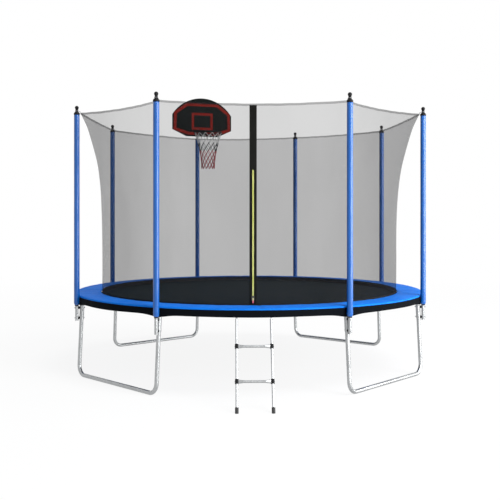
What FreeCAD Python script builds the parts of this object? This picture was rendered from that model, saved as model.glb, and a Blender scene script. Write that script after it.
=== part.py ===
"""Round garden trampoline with safety net, ladder and basketball hoop.

Millimetres, +Z up. The origin is on the ground under the centre of the mat,
and the door of the net faces -Y. Bearings are measured from -Y, positive
towards +X, seen from above.
"""
import FreeCAD, Part
import math
import os
from types import SimpleNamespace

import Sketcher
from FreeCAD import Placement, Rotation, Vector

os.makedirs("parts", exist_ok=True)
doc = FreeCAD.newDocument("trampoline")

# Driving dimensions
SIZES = [
    ("ring_radius", 1810, "frame ring, centreline radius"),
    ("ring_height", 750, "frame ring, centreline height"),
    ("ring_tube", 38, "frame ring, tube diameter"),
    ("tube_wall", 1.5, "wall of every steel tube"),
    ("spigot_length", 60, "swaged tube end in the next ring section"),
    ("spigot_clearance", 0.3, "swaged tube end, radial clearance"),
    ("leg_tube", 38, "U leg, tube diameter"),
    ("leg_corner", 95, "U leg, bend radius"),
    ("leg_splay", 3, "U leg, outward lean in degrees"),
    ("leg_span", 40, "bearing between the two uprights of a leg"),
    ("front_leg_bearing", 47, "middle of a front leg"),
    ("back_leg_bearing", 140, "middle of a back leg"),
    ("socket_tube", 44, "leg socket, tube diameter"),
    ("socket_clearance", 0.3, "leg in its socket, radial clearance"),
    ("socket_length", 190, "leg socket, from the ring's centreline"),
    ("leg_insertion", 155, "leg inside its socket"),
    ("pole_tube", 32, "net pole, tube diameter"),
    ("pole_bottom", 545, "net pole, height of the lower end"),
    ("pole_in_cap", 28, "net pole inside its cap"),
    ("sleeve_diameter", 55, "foam sleeve, outside"),
    ("sleeve_bottom", 688, "foam sleeve, height of the lower end"),
    ("sleeve_top", 2576, "foam sleeve, height of the upper end"),
    ("sleeve_taper", 34, "foam sleeve, gathered lower end"),
    ("sleeve_end_diameter", 37, "foam sleeve, diameter at the gathered end"),
    ("fit_gap", 0.3, "running or seating gap between pieces"),
    ("cap_collar", 58, "pole cap, collar diameter"),
    ("cap_collar_height", 16, "pole cap, collar height"),
    ("cap_shoulder", 16, "pole cap, height of the cone on the collar"),
    ("cap_neck", 28, "pole cap, neck diameter"),
    ("cap_knob", 38, "pole cap, knob diameter"),
    ("cap_height", 88, "pole cap, whole height"),
    ("bolt_diameter", 8, "pole bolt"),
    ("bolt_hole_gap", 0.3, "bolt hole, radial clearance"),
    ("bolt_head", 14, "bolt head and nut, across the corners"),
    ("bolt_head_height", 5.5, "bolt head, height"),
    ("nut_height", 6.5, "nut, height"),
    ("upper_bolt_height", 672, "upper pole bolt"),
    ("lower_bolt_height", 572, "lower pole bolt"),
    ("spacer_diameter", 26, "saddle between pole and socket"),
    ("pad_inner_radius", 1575, "spring pad, inner radius"),
    ("pad_thickness", 20, "spring pad, thickness at its edge"),
    ("pad_crown", 5, "spring pad, rise of the crown"),
    ("pad_edge", 7, "spring pad, edge radius"),
    ("skirt_gap", 7, "skirt, clear of the ring"),
    ("skirt_thickness", 1.5, "skirt, fabric and hem"),
    ("skirt_bottom", 714, "skirt, height of the hem"),
    ("skirt_overlap", 16, "skirt, height sewn to the side of the pad"),
    ("mat_radius", 1586, "jumping mat, radius"),
    ("mat_thickness", 2, "jumping mat, thickness"),
    ("webbing_width", 43, "edge webbing, width"),
    ("webbing_thickness", 3, "edge webbing, thickness"),
    ("webbing_overhang", 14, "edge webbing, width outside the mat"),
    ("v_ring_wire", 4, "V ring, wire diameter"),
    ("v_ring_base", 34, "V ring, length of the sewn bar"),
    ("v_ring_depth", 34, "V ring, bar to apex"),
    ("spring_count", 72, "springs"),
    ("spring_diameter", 22, "spring, coil diameter"),
    ("spring_hook", 20, "spring, length of a hook"),
    ("net_foot_radius", 1567, "net, radius at the mat"),
    ("net_corner_radius", 1815, "net, radius at the top beside a pole"),
    ("net_top_slack", 22, "net, how far the top edge bows in"),
    ("net_waist", 0.25, "net, share of its height that stands straight"),
    ("net_flare", 2.3, "net, power of its opening above the waist"),
    ("net_thickness", 2, "net, thickness"),
    ("net_foot_top", 800, "net, height of the foot band"),
    ("net_top", 2576, "net, height of the top edge"),
    ("hem_height", 24, "net, height of the top hem"),
    ("hem_thickness", 5, "net, thickness of the top hem"),
    ("door_band_width", 64, "door band, width"),
    ("door_band_thickness", 3.2, "door band, thickness"),
    ("zip_width", 14, "zip teeth, width"),
    ("zip_thickness", 3, "zip teeth, thickness"),
    ("zip_bottom", 812, "zip teeth, height of the lower end"),
    ("zip_top", 1986, "zip teeth, height of the upper end"),
    ("slider_height", 40, "zip slider, height"),
    ("slider_width", 28, "zip slider, width"),
    ("slider_plate", 4, "zip slider, front plate"),
    ("pull_pin", 3, "zip pull, pin diameter"),
    ("pull_length", 44, "zip pull, length"),
    ("pull_width", 11, "zip pull, width"),
    ("pull_thickness", 3, "zip pull, thickness"),
    ("ladder_spacing", 295, "ladder, rail to rail"),
    ("ladder_reach", 430, "ladder, foot outside the ring's centreline"),
    ("rail_tube", 22, "ladder rail, tube diameter"),
    ("rail_top", 700, "ladder rail, height of the upper end"),
    ("upper_rung_height", 488, "upper rung"),
    ("lower_rung_height", 226, "lower rung"),
    ("rung_tube", 22, "rung, tube diameter"),
    ("rung_end_height", 36, "rung, height of the flattened end"),
    ("rung_end_thickness", 9, "rung, thickness of the flattened end"),
    ("rung_flare", 40, "rung, length of the flattening"),
    ("clip_wall", 3.5, "rung clip, wall"),
    ("clip_height", 40, "rung clip, height"),
    ("ladder_bolt", 6, "rung bolt"),
    ("foot_wall", 3.5, "ladder foot, wall"),
    ("foot_height", 46, "ladder foot, length along the rail"),
    ("foot_sole", 8, "ladder foot, rubber under the rail"),
    ("hook_thickness", 2.5, "ladder hook, steel strap"),
    ("hook_clearance", 1.5, "ladder hook, inside of its bend clear of the ring"),
    ("hook_drop", 0.8, "ladder hook, centre of its bend below the ring's centre"),
    ("hook_wrap", 25, "ladder hook, degrees below the ring's inner side"),
    ("hook_in_rail", 60, "ladder hook, length inside the rail"),
    ("board_half_width", 392, "backboard, half width"),
    ("board_foot_half_width", 207, "backboard, half width of the lower edge"),
    ("board_side_low", 83, "backboard, lower end of the side edge"),
    ("board_side_high", 273, "backboard, upper end of the side edge"),
    ("board_height", 487, "backboard, height"),
    ("board_thickness", 18, "backboard, thickness"),
    ("board_bottom", 2587, "backboard, height of the lower edge"),
    ("board_setback", 190, "backboard, back face inside the pole's axis"),
    ("post_clearance", 0.3, "hoop post in the pole, radial clearance"),
    ("post_insertion", 160, "hoop post inside the pole"),
    ("post_rise", 330, "hoop post above the pole"),
    ("post_collar", 8, "hoop post, height of the stop collar"),
    ("bracket_plate", 4, "hoop bracket, plate thickness"),
    ("bracket_width", 130, "hoop bracket, width on the board"),
    ("bracket_height", 220, "hoop bracket, height"),
    ("bracket_base", 70, "hoop bracket, above the board's lower edge"),
    ("rim_radius", 168, "rim, centreline radius"),
    ("rim_bar", 16, "rim, bar diameter"),
    ("rim_reach", 62, "rim, clear distance to the board"),
    ("rim_above_board_foot", 26, "rim, above the board's lower edge"),
    ("rim_plate_width", 110, "rim plate, width"),
    ("rim_plate_height", 64, "rim plate, height"),
    ("rim_plate_thickness", 5, "rim plate, thickness"),
    ("hoop_net_length", 440, "hoop net, length"),
    ("hoop_net_end_radius", 84, "hoop net, radius at the lower end"),
    ("hoop_net_cord", 4, "hoop net, cord thickness"),
]

UPRIGHTS = [
    ("front_left", "front", -1, -1),
    ("left_front", "front", -1, 1),
    ("left_back", "back", -1, -1),
    ("back_left", "back", -1, 1),
    ("back_right", "back", 1, 1),
    ("right_back", "back", 1, -1),
    ("right_front", "front", 1, 1),
    ("front_right", "front", 1, -1),
]
HOOP_POLE = "back_left"
HOOP_NET_MESHES = 12
HOOP_NET_ROWS = 5
NET_LEVELS = 9


class Dim(float):
    """A size that carries the spreadsheet expression it comes from."""

    def __new__(cls, value, text):
        size = super().__new__(cls, value)
        size.text = text
        return size

    def __add__(self, other):
        return Dim(float(self) + other, f"({self.text} + {text_of(other)})")

    def __radd__(self, other):
        return Dim(other + float(self), f"({text_of(other)} + {self.text})")

    def __sub__(self, other):
        return Dim(float(self) - other, f"({self.text} - {text_of(other)})")

    def __rsub__(self, other):
        return Dim(other - float(self), f"({text_of(other)} - {self.text})")

    def __mul__(self, other):
        return Dim(float(self) * other, f"({self.text} * {text_of(other)})")

    def __rmul__(self, other):
        return Dim(other * float(self), f"({text_of(other)} * {self.text})")

    def __truediv__(self, other):
        return Dim(float(self) / other, f"({self.text} / {text_of(other)})")

    def __neg__(self):
        return Dim(-float(self), f"(0 - {self.text})")


def text_of(number):
    """The expression of a size, or the digits of a plain number."""
    return number.text if isinstance(number, Dim) else repr(float(number))


def fill_sheet(rows):
    """Write the driving dimensions to the sheet and hand them back by name."""
    sheet = doc.addObject("Spreadsheet::Sheet", "sizes")
    for row, (alias, value, meaning) in enumerate(rows, start=1):
        sheet.set(f"A{row}", meaning)
        sheet.set(f"B{row}", str(value))
        sheet.setAlias(f"B{row}", alias)
    doc.recompute()
    named = {alias: Dim(sheet.get(alias), f"sizes.{alias}") for alias, _, _ in rows}
    return SimpleNamespace(**named)


s = fill_sheet(SIZES)
nodes = []


# Sizes that follow from the driving ones
ring_top = s.ring_height + s.ring_tube / 2
ring_bore = s.ring_tube / 2 - s.tube_wall
skirt_radius = s.ring_radius + s.ring_tube / 2 + s.skirt_gap
skirt_outer = skirt_radius + s.skirt_thickness
pole_radius = skirt_outer + s.fit_gap + s.sleeve_diameter / 2
pole_top = s.sleeve_top + s.pole_in_cap
pad_bottom = ring_top + s.fit_gap
pad_outer = skirt_radius - s.fit_gap
pad_shoulder = pad_bottom + s.pad_thickness
skirt_top = pad_bottom + s.skirt_overlap
mat_top = s.ring_height + s.mat_thickness / 2
webbing_outer = s.mat_radius + s.webbing_overhang
webbing_bottom = mat_top + s.fit_gap
net_foot = webbing_bottom + s.webbing_thickness + s.fit_gap
v_ring_bar = s.mat_radius + s.fit_gap + s.v_ring_wire / 2
v_ring_apex = v_ring_bar + s.v_ring_depth
bolt_hole = s.bolt_diameter / 2 + s.bolt_hole_gap
hook_radius = s.ring_tube / 2 + s.hook_clearance + s.hook_thickness / 2
rail_bore = s.rail_tube / 2 - s.tube_wall
hook_width = 2 * math.sqrt((rail_bore - s.fit_gap) ** 2 - (s.hook_thickness / 2) ** 2)
splay = math.radians(s.leg_splay)
half_span = math.radians(s.leg_span / 2)


def compass(bearing):
    """Turn a piece made on the +X side to its bearing."""
    return Placement(Vector(), Rotation(Vector(0, 0, 1), bearing - 90))


def leg_bearing(end, side):
    """Bearing of the middle of a leg."""
    middle = s.front_leg_bearing if end == "front" else s.back_leg_bearing
    return side * middle


def upright_bearing(end, side, half):
    """Bearing of one upright: half is -1 nearer the front, 1 nearer the back."""
    middle = s.front_leg_bearing if end == "front" else s.back_leg_bearing
    return side * (middle + half * s.leg_span / 2)


def bind(item, key, size):
    """Give a property its size, as an expression where it comes from the sheet."""
    if isinstance(size, Dim):
        item.setExpression(key, size.text)
    else:
        setattr(item, key, size)


def primitive(kind, name, place=None, **sizes):
    """A Part primitive whose sizes are bound to the sheet."""
    item = doc.addObject("Part::" + kind, name)
    for key, size in sizes.items():
        bind(item, key, size)
    if place is not None:
        item.Placement = place
    return item


def fuse(name, pieces):
    item = doc.addObject("Part::MultiFuse", name)
    item.Shapes = pieces
    return item


def cut(name, base, tools):
    item = doc.addObject("Part::Cut", name)
    item.Base = base
    item.Tool = tools[0] if len(tools) == 1 else fuse(name + "_cuts", tools)
    return item


def add_node(item, label, place=None):
    """Name a finished sub-part, and turn it to its place."""
    item.Label = label
    if place is not None:
        item.Placement = place
    nodes.append(item)
    return item


def shape_node(label, shape, place=None):
    """A sub-part whose shape is worked out with Part's own functions."""
    item = doc.addObject("Part::Feature", label)
    item.Shape = shape
    return add_node(item, label, place)


def solid_of(item):
    """The finished shape of an object, ready to be copied."""
    doc.recompute()
    return item.Shape.copy()


def copies(shape, placements):
    """The shape repeated at each placement, as separate solids."""
    repeated = []
    for place in placements:
        one = shape.copy()
        one.Placement = place.multiply(one.Placement)
        repeated.append(one)
    return Part.makeCompound(repeated)


def plane_of(body, role):
    return {item.Role: item for item in body.Origin.OriginFeatures}[role]


def new_sketch(body, role, name):
    sketch = body.newObject("Sketcher::SketchObject", name)
    sketch.AttachmentSupport = [(plane_of(body, role), "")]
    sketch.MapMode = "FlatFace"
    return sketch


def pin_value(sketch, kind, references, size, name):
    """A dimension of a sketch, bound to the sheet."""
    index = sketch.addConstraint(Sketcher.Constraint(kind, *references, float(size)))
    if isinstance(size, Dim):
        sketch.renameConstraint(index, name)
        sketch.setExpression("Constraints." + name, size.text)


def pin_point(sketch, edge, vertex, point, name):
    """Fix a vertex at its distances from the origin."""
    pin_value(sketch, "DistanceX", (-1, 1, edge, vertex), point[0], name + "_x")
    pin_value(sketch, "DistanceY", (-1, 1, edge, vertex), point[1], name + "_y")


def arc_middle(start, end, radius):
    """Middle of the arc from start to end; it bulges right for a positive radius."""
    chord = end - start
    half = chord.Length / 2
    rise = abs(radius) - math.sqrt(max(radius * radius - half * half, 0.0))
    right = Vector(chord.y, -chord.x, 0).normalize()
    return (start + end) / 2 + right * math.copysign(rise, radius)


def draw_path(sketch, points, closed):
    """Lines through the points; a third value makes the next edge an arc."""
    ends = points[1:] + points[:1] if closed else points[1:]
    joints = []
    for number, (start, end) in enumerate(zip(points, ends)):
        first = Vector(start[0], start[1], 0)
        last = Vector(end[0], end[1], 0)
        if len(start) == 2:
            edge = sketch.addGeometry(Part.LineSegment(first, last), False)
        else:
            middle = arc_middle(first, last, start[2])
            edge = sketch.addGeometry(Part.Arc(first, middle, last), False)
            radius = start[2] if start[2] > 0 else -start[2]
            pin_value(sketch, "Radius", (edge,), radius, f"r{number}")
        forward = (sketch.getPoint(edge, 1) - first).Length < 1e-6
        joints.append((edge, 1 if forward else 2, 2 if forward else 1))
    for number, (edge, start_vertex, end_vertex) in enumerate(joints):
        pin_point(sketch, edge, start_vertex, points[number], f"p{number}")
        if closed or number + 1 < len(joints):
            follower = joints[(number + 1) % len(joints)]
            link = ("Coincident", edge, end_vertex, follower[0], follower[1])
            sketch.addConstraint(Sketcher.Constraint(*link))
        else:
            pin_point(sketch, edge, end_vertex, points[number + 1], "last")


def draw_circles(sketch, centre, radii):
    """Circles of the given radii about one centre."""
    for number, radius in enumerate(radii):
        circle = Part.Circle(Vector(centre[0], centre[1], 0), Vector(0, 0, 1), radius)
        edge = sketch.addGeometry(circle, False)
        pin_value(sketch, "Radius", (edge,), radius, f"circle{number}")
        pin_point(sketch, edge, 3, centre, f"centre{number}")


def turned(name, points, place=None):
    """A body turned about its Z axis from an outline of radius and height."""
    body = doc.addObject("PartDesign::Body", name)
    sketch = new_sketch(body, "XZ_Plane", name + "_outline")
    draw_path(sketch, points, True)
    turn = body.newObject("PartDesign::Revolution", name + "_turn")
    turn.Profile = sketch
    turn.ReferenceAxis = (sketch, ["V_Axis"])
    turn.Angle = 360
    body.Tip = turn
    if place is not None:
        body.Placement = place
    return body


def padded(name, role, points, length, place=None):
    """A body padded both ways from an outline."""
    body = doc.addObject("PartDesign::Body", name)
    sketch = new_sketch(body, role, name + "_outline")
    draw_path(sketch, points, True)
    pad = body.newObject("PartDesign::Pad", name + "_pad")
    pad.Profile = sketch
    pad.Midplane = True
    bind(pad, "Length", length)
    body.Tip = pad
    if place is not None:
        body.Placement = place
    return body


def disc(name, radii, bottom, height):
    """A flat disc or ring."""
    body = doc.addObject("PartDesign::Body", name)
    sketch = new_sketch(body, "XY_Plane", name + "_outline")
    draw_circles(sketch, (0.0, 0.0), radii)
    pad = body.newObject("PartDesign::Pad", name + "_pad")
    pad.Profile = sketch
    bind(pad, "Length", height)
    body.Tip = pad
    body.Placement = Placement(Vector(0, 0, bottom), Rotation())
    return body


def along(start, direction):
    """A placement at start whose Z axis points along the direction."""
    return Placement(start, Rotation(Vector(0, 0, 1), direction))


def radial_hole(name, radius, height, offset_bearing=0.0):
    """A rod along the radius through ring socket and pole, for bolt holes."""
    reach = s.socket_tube + s.sleeve_diameter + s.ring_tube
    inner = s.ring_radius - s.socket_tube
    turn = Rotation(Vector(0, 0, 1), offset_bearing)
    start = turn.multVec(Vector(inner, 0, height))
    place = along(start, turn.multVec(Vector(1, 0, 0)))
    return primitive("Cylinder", name, place, Radius=radius, Height=reach)


def socket_direction(half):
    """Downward direction of an upright made on the +X side."""
    outward = math.sin(splay)
    side = -half * outward * math.sin(half_span)
    return Vector(outward * math.cos(half_span), side, -math.cos(splay))


def socket_point(half, height):
    """Point of the upright's axis at a height."""
    down = socket_direction(half)
    drop = (s.ring_height - height) / -down.z
    return Vector(s.ring_radius, 0, s.ring_height) + down * drop


def torus_piece(name, radius, start, sweep):
    """Part of the ring's tube from a bearing over a sweep."""
    turn = Rotation(Vector(0, 0, 1), start)
    place = Placement(Vector(0, 0, s.ring_height), turn)
    item = primitive("Torus", name, place, Radius1=s.ring_radius, Radius2=radius)
    item.Angle3 = sweep
    return item


def ring_section(name, bearing, low, high, half):
    """One curved tube with a swaged end and a leg socket under it."""
    spigot_angle = math.degrees(s.spigot_length / s.ring_radius)
    start = low - bearing
    sweep = high - low
    tube = torus_piece(name + "_tube", s.ring_tube / 2, start, sweep)
    bore = torus_piece(name + "_bore", ring_bore, start, sweep)
    shell = cut(name + "_shell", tube, [bore])
    root = torus_piece(name + "_root", ring_bore, start + sweep - spigot_angle / 2, spigot_angle / 2)
    plug = torus_piece(
        name + "_plug",
        ring_bore - s.spigot_clearance,
        start + sweep - spigot_angle / 2,
        spigot_angle * 1.5,
    )
    hollow = torus_piece(
        name + "_hollow",
        ring_bore - s.spigot_clearance - s.tube_wall,
        start + sweep - spigot_angle,
        spigot_angle * 2.5,
    )
    spigot = cut(name + "_spigot", fuse(name + "_swage", [root, plug]), [hollow])
    down = socket_direction(half)
    top = Vector(s.ring_radius, 0, s.ring_height)
    pipe = primitive(
        "Cylinder", name + "_pipe", along(top, down), Radius=s.socket_tube / 2, Height=s.socket_length
    )
    inside = primitive(
        "Cylinder",
        name + "_inside",
        along(top, down),
        Radius=s.leg_tube / 2 + s.socket_clearance,
        Height=s.socket_length + s.ring_tube,
    )
    cope = torus_piece(name + "_cope", s.ring_tube / 2, start, sweep)
    socket = cut(name + "_socket", pipe, [inside, cope])
    joined = fuse(name + "_joined", [shell, spigot, socket])
    holes = [
        radial_hole(name + "_hole_high", bolt_hole, s.upper_bolt_height),
        radial_hole(name + "_hole_low", bolt_hole, s.lower_bolt_height),
    ]
    add_node(cut(name, joined, holes), name, compass(bearing))


def make_ring():
    """Eight sections that meet between the legs and over the middle of each leg."""
    side_joint = (s.front_leg_bearing + s.back_leg_bearing) / 2
    joints = {
        ("front", -1): (0.0, s.front_leg_bearing),
        ("front", 1): (s.front_leg_bearing, side_joint),
        ("back", -1): (side_joint, s.back_leg_bearing),
        ("back", 1): (s.back_leg_bearing, 180.0),
    }
    for position, end, side, half in UPRIGHTS:
        near, far = joints[(end, half)]
        low, high = (near, far) if side > 0 else (-far, -near)
        bearing = upright_bearing(end, side, half)
        ring_section("ring_section_" + position, bearing, low, high, half * side)


def make_leg(name, end, side):
    """U shaped leg: two uprights and a ground bar bent from one tube."""
    body = doc.addObject("PartDesign::Body", name + "_bend")
    half_width = s.ring_radius * math.sin(half_span)
    top_drop = s.socket_length - s.leg_insertion
    ground_drop = (s.ring_height - s.leg_tube / 2) / math.cos(splay)
    length = ground_drop - top_drop
    straight = length - s.leg_corner
    spine = new_sketch(body, "XZ_Plane", name + "_spine")
    draw_path(
        spine,
        [
            (-half_width, 0.0),
            (-half_width, -straight, s.leg_corner),
            (s.leg_corner - half_width, -length),
            (half_width - s.leg_corner, -length, s.leg_corner),
            (half_width, -straight),
            (half_width, 0.0),
        ],
        False,
    )
    profile = new_sketch(body, "XY_Plane", name + "_section")
    draw_circles(profile, (-half_width, 0.0), [s.leg_tube / 2, s.leg_tube / 2 - s.tube_wall])
    pipe = body.newObject("PartDesign::AdditivePipe", name + "_pipe")
    pipe.Profile = profile
    pipe.Spine = spine
    body.Tip = pipe
    down = Vector(math.sin(splay), 0, -math.cos(splay))
    chord_middle = Vector(s.ring_radius * math.cos(half_span), 0, s.ring_height)
    turn = Rotation(Vector(0, 1, 0), down * -1, down * -1, "ZXY")
    body.Placement = Placement(chord_middle + down * float(top_drop), turn)
    holes = []
    for half in (-1, 1):
        for level, height in (("high", s.upper_bolt_height), ("low", s.lower_bolt_height)):
            hole_name = f"{name}_hole_{level}_{half + 1}"
            holes.append(radial_hole(hole_name, bolt_hole, height, half * s.leg_span / 2))
    add_node(cut(name, body, holes), name, compass(leg_bearing(end, side)))


def make_legs():
    for end, side, name in (
        ("front", -1, "leg_front_left"),
        ("front", 1, "leg_front_right"),
        ("back", -1, "leg_back_left"),
        ("back", 1, "leg_back_right"),
    ):
        make_leg(name, end, side)


def make_pole(position, bearing):
    """Steel pole outside the ring, bolted to the leg socket."""
    name = "pole_" + position
    foot = Vector(pole_radius, 0, s.pole_bottom)
    height = pole_top - s.pole_bottom
    tube = primitive(
        "Cylinder", name + "_tube", Placement(foot, Rotation()), Radius=s.pole_tube / 2, Height=height
    )
    bore = primitive(
        "Cylinder",
        name + "_bore",
        Placement(foot, Rotation()),
        Radius=s.pole_tube / 2 - s.tube_wall,
        Height=height,
    )
    holes = [
        radial_hole(name + "_hole_high", bolt_hole, s.upper_bolt_height),
        radial_hole(name + "_hole_low", bolt_hole, s.lower_bolt_height),
    ]
    add_node(cut(name, tube, [bore] + holes), name, compass(bearing))


def make_sleeve(position, bearing):
    """Foam tube round a pole, gathered at its lower end."""
    inner = s.pole_tube / 2 + s.fit_gap
    outer = s.sleeve_diameter / 2
    edge = (outer - inner) / 2
    name = "pole_sleeve_" + position
    body = turned(
        name,
        [
            (inner, s.sleeve_bottom),
            (s.sleeve_end_diameter / 2, s.sleeve_bottom),
            (outer, s.sleeve_bottom + s.sleeve_taper),
            (outer, s.sleeve_top - edge, edge),
            (outer - edge, s.sleeve_top),
            (inner, s.sleeve_top),
        ],
    )
    offset = Placement(Vector(pole_radius, 0, 0), Rotation())
    add_node(body, name, compass(bearing).multiply(offset))


def make_caps(bearings):
    """Finial caps: collar, cone, neck and knob, open below for the pole."""
    bore = s.pole_tube / 2 + s.fit_gap
    neck = s.cap_neck / 2
    knob = s.cap_knob / 2
    collar = s.cap_collar / 2
    neck_start = s.cap_collar_height + s.cap_shoulder
    knob_start = s.cap_height - knob - math.sqrt(knob * knob - neck * neck)
    cap = turned(
        "cap_pattern",
        [
            (bore, 0.0),
            (collar, 0.0),
            (collar, s.cap_collar_height),
            (neck, neck_start),
            (neck, knob_start, knob),
            (0.0, s.cap_height),
            (0.0, s.pole_in_cap + s.fit_gap),
            (bore, s.pole_in_cap + s.fit_gap),
        ],
    )
    seat = Placement(Vector(pole_radius, 0, s.sleeve_top), Rotation())
    places = [compass(bearing).multiply(seat) for bearing in bearings]
    shape_node("pole_caps", copies(solid_of(cap), places))


def hexagon_prism(diameter, height):
    """A hexagonal prism on the XY plane, sized across its corners."""
    corners = [
        Vector(diameter / 2 * math.cos(math.radians(60 * k)), diameter / 2 * math.sin(math.radians(60 * k)), 0)
        for k in range(7)
    ]
    return Part.Face(Part.makePolygon(corners)).extrude(Vector(0, 0, height))


def through_bolt(diameter, head, grip):
    """Head below Z = 0, shank up through the grip, and the nut past it."""
    shank_length = grip + s.nut_height + diameter / 4
    shank = Part.makeCylinder(diameter / 2, shank_length)
    cap = hexagon_prism(head, s.bolt_head_height)
    cap.translate(Vector(0, 0, -s.bolt_head_height))
    nut = hexagon_prism(head, s.nut_height)
    nut.translate(Vector(0, 0, grip))
    return shank.fuse([cap, nut]).removeSplitter()


def pole_bolt(half, height):
    """Bolt from outside the pole to the inner side of the socket."""
    head_face = pole_radius + s.pole_tube / 2 + s.fit_gap
    nut_face = socket_point(half, height).x - s.socket_tube / 2 - s.fit_gap
    bolt = through_bolt(s.bolt_diameter, s.bolt_head, head_face - nut_face)
    bolt.Placement = along(Vector(head_face, 0, height), Vector(-1, 0, 0))
    return bolt


def pole_spacer(half, height):
    """Saddle that fills the gap between socket and pole round one bolt."""
    axis_point = socket_point(half, height)
    rod_length = pole_radius - axis_point.x
    rod = Part.makeCylinder(s.spacer_diameter / 2, rod_length, Vector(axis_point.x, 0, height), Vector(1, 0, 0))
    reach = s.spacer_diameter * 2
    down = socket_direction(half)
    socket = Part.makeCylinder(s.socket_tube / 2 + s.fit_gap / 2, reach * 2, axis_point - down * float(reach), down)
    pole = Part.makeCylinder(
        s.pole_tube / 2 + s.fit_gap / 2, reach * 2, Vector(pole_radius, 0, height - reach), Vector(0, 0, 1)
    )
    hole = Part.makeCylinder(bolt_hole, rod_length, Vector(axis_point.x, 0, height), Vector(1, 0, 0))
    return rod.cut([socket, pole, hole])


def make_pole_fasteners(uprights):
    bolts = []
    spacers = []
    for _, end, side, half in uprights:
        place = compass(upright_bearing(end, side, half))
        for height in (s.upper_bolt_height, s.lower_bolt_height):
            bolts.append(copies(pole_bolt(half * side, height), [place]))
            spacers.append(copies(pole_spacer(half * side, height), [place]))
    shape_node("pole_bolts", Part.makeCompound([solid for item in bolts for solid in item.Solids]))
    shape_node("pole_spacers", Part.makeCompound([solid for item in spacers for solid in item.Solids]))


def make_spring_pad():
    """Crowned ring of foam over the springs, notched over the ladder hooks."""
    width = pad_outer - s.pad_inner_radius - s.pad_edge * 2
    crown_radius = (width * width / 4 + s.pad_crown * s.pad_crown) / (s.pad_crown * 2)
    body = turned(
        "spring_pad_ring",
        [
            (s.pad_inner_radius + s.pad_edge, pad_bottom),
            (pad_outer - s.pad_edge, pad_bottom, s.pad_edge),
            (pad_outer, pad_bottom + s.pad_edge),
            (pad_outer, pad_shoulder - s.pad_edge, s.pad_edge),
            (pad_outer - s.pad_edge, pad_shoulder, crown_radius),
            (s.pad_inner_radius + s.pad_edge, pad_shoulder, s.pad_edge),
            (s.pad_inner_radius, pad_shoulder - s.pad_edge),
            (s.pad_inner_radius, pad_bottom + s.pad_edge, s.pad_edge),
        ],
    )
    hook_top = s.ring_height + hook_radius + s.hook_thickness / 2 + s.fit_gap
    notch_width = hook_width + s.hook_clearance * 4
    notches = []
    for side in (-1, 1):
        corner = Vector(
            side * s.ladder_spacing / 2 - notch_width / 2,
            -pad_outer - s.pad_edge,
            pad_bottom - s.fit_gap,
        )
        notches.append(
            primitive(
                "Box",
                f"spring_pad_notch_{side + 1}",
                Placement(corner, Rotation()),
                Length=notch_width,
                Width=s.ring_tube + s.ring_tube,
                Height=hook_top - pad_bottom + s.fit_gap,
            )
        )
    add_node(cut("spring_pad", body, notches), "spring_pad")


def make_skirt():
    """Skirt round the outside of the ring, sewn to the pad's side."""
    body = turned(
        "pad_skirt",
        [
            (skirt_radius, s.skirt_bottom),
            (skirt_outer, s.skirt_bottom),
            (skirt_outer, skirt_top),
            (skirt_radius, skirt_top),
        ],
    )
    add_node(body, "pad_skirt")


def make_mat():
    """Jumping mat with its edge webbing and the V rings sewn under it."""
    add_node(disc("jumping_mat", [s.mat_radius], mat_top - s.mat_thickness, s.mat_thickness), "jumping_mat")
    webbing = disc(
        "mat_webbing",
        [webbing_outer, webbing_outer - s.webbing_width],
        webbing_bottom,
        s.webbing_thickness,
    )
    add_node(webbing, "mat_webbing")
    wire = s.v_ring_wire / 2
    level = webbing_bottom - s.fit_gap - wire
    corners = [
        Vector(v_ring_bar, -s.v_ring_base / 2, level),
        Vector(v_ring_bar, s.v_ring_base / 2, level),
        Vector(v_ring_apex, 0, level),
    ]
    bars = []
    for start, end in zip(corners, corners[1:] + corners[:1]):
        bars.append(Part.makeCylinder(wire, (end - start).Length, start, end - start))
        bars.append(Part.makeSphere(wire, start))
    v_ring = bars[0].fuse(bars[1:])
    shape_node("v_rings", copies(v_ring, spring_places()))


def spring_places():
    """One place for each spring, half a step away from the front centre."""
    count = int(round(s.spring_count))
    return [compass((k + 0.5) * 360 / count) for k in range(count)]


def make_springs():
    """Close coiled springs with a straight hook at each end."""
    start = v_ring_apex + s.v_ring_wire / 2 + s.fit_gap
    end = s.ring_radius - s.ring_tube / 2 - s.fit_gap
    wire = s.v_ring_wire / 2
    level = s.ring_height
    axis = Vector(1, 0, 0)
    coil_start = start + s.spring_hook
    coil_end = end - s.spring_hook
    coil = Part.makeCylinder(s.spring_diameter / 2, coil_end - coil_start, Vector(coil_start, 0, level), axis)
    hooks = Part.makeCylinder(wire, end - start, Vector(start, 0, level), axis)
    shape_node("springs", copies(coil.fuse(hooks), spring_places()))


def net_share(height):
    """How far the net has opened from its foot circle towards the poles."""
    rise = (height - net_foot) / (s.net_top - net_foot)
    return max(0.0, (rise - s.net_waist) / (1 - s.net_waist)) ** s.net_flare


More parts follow.
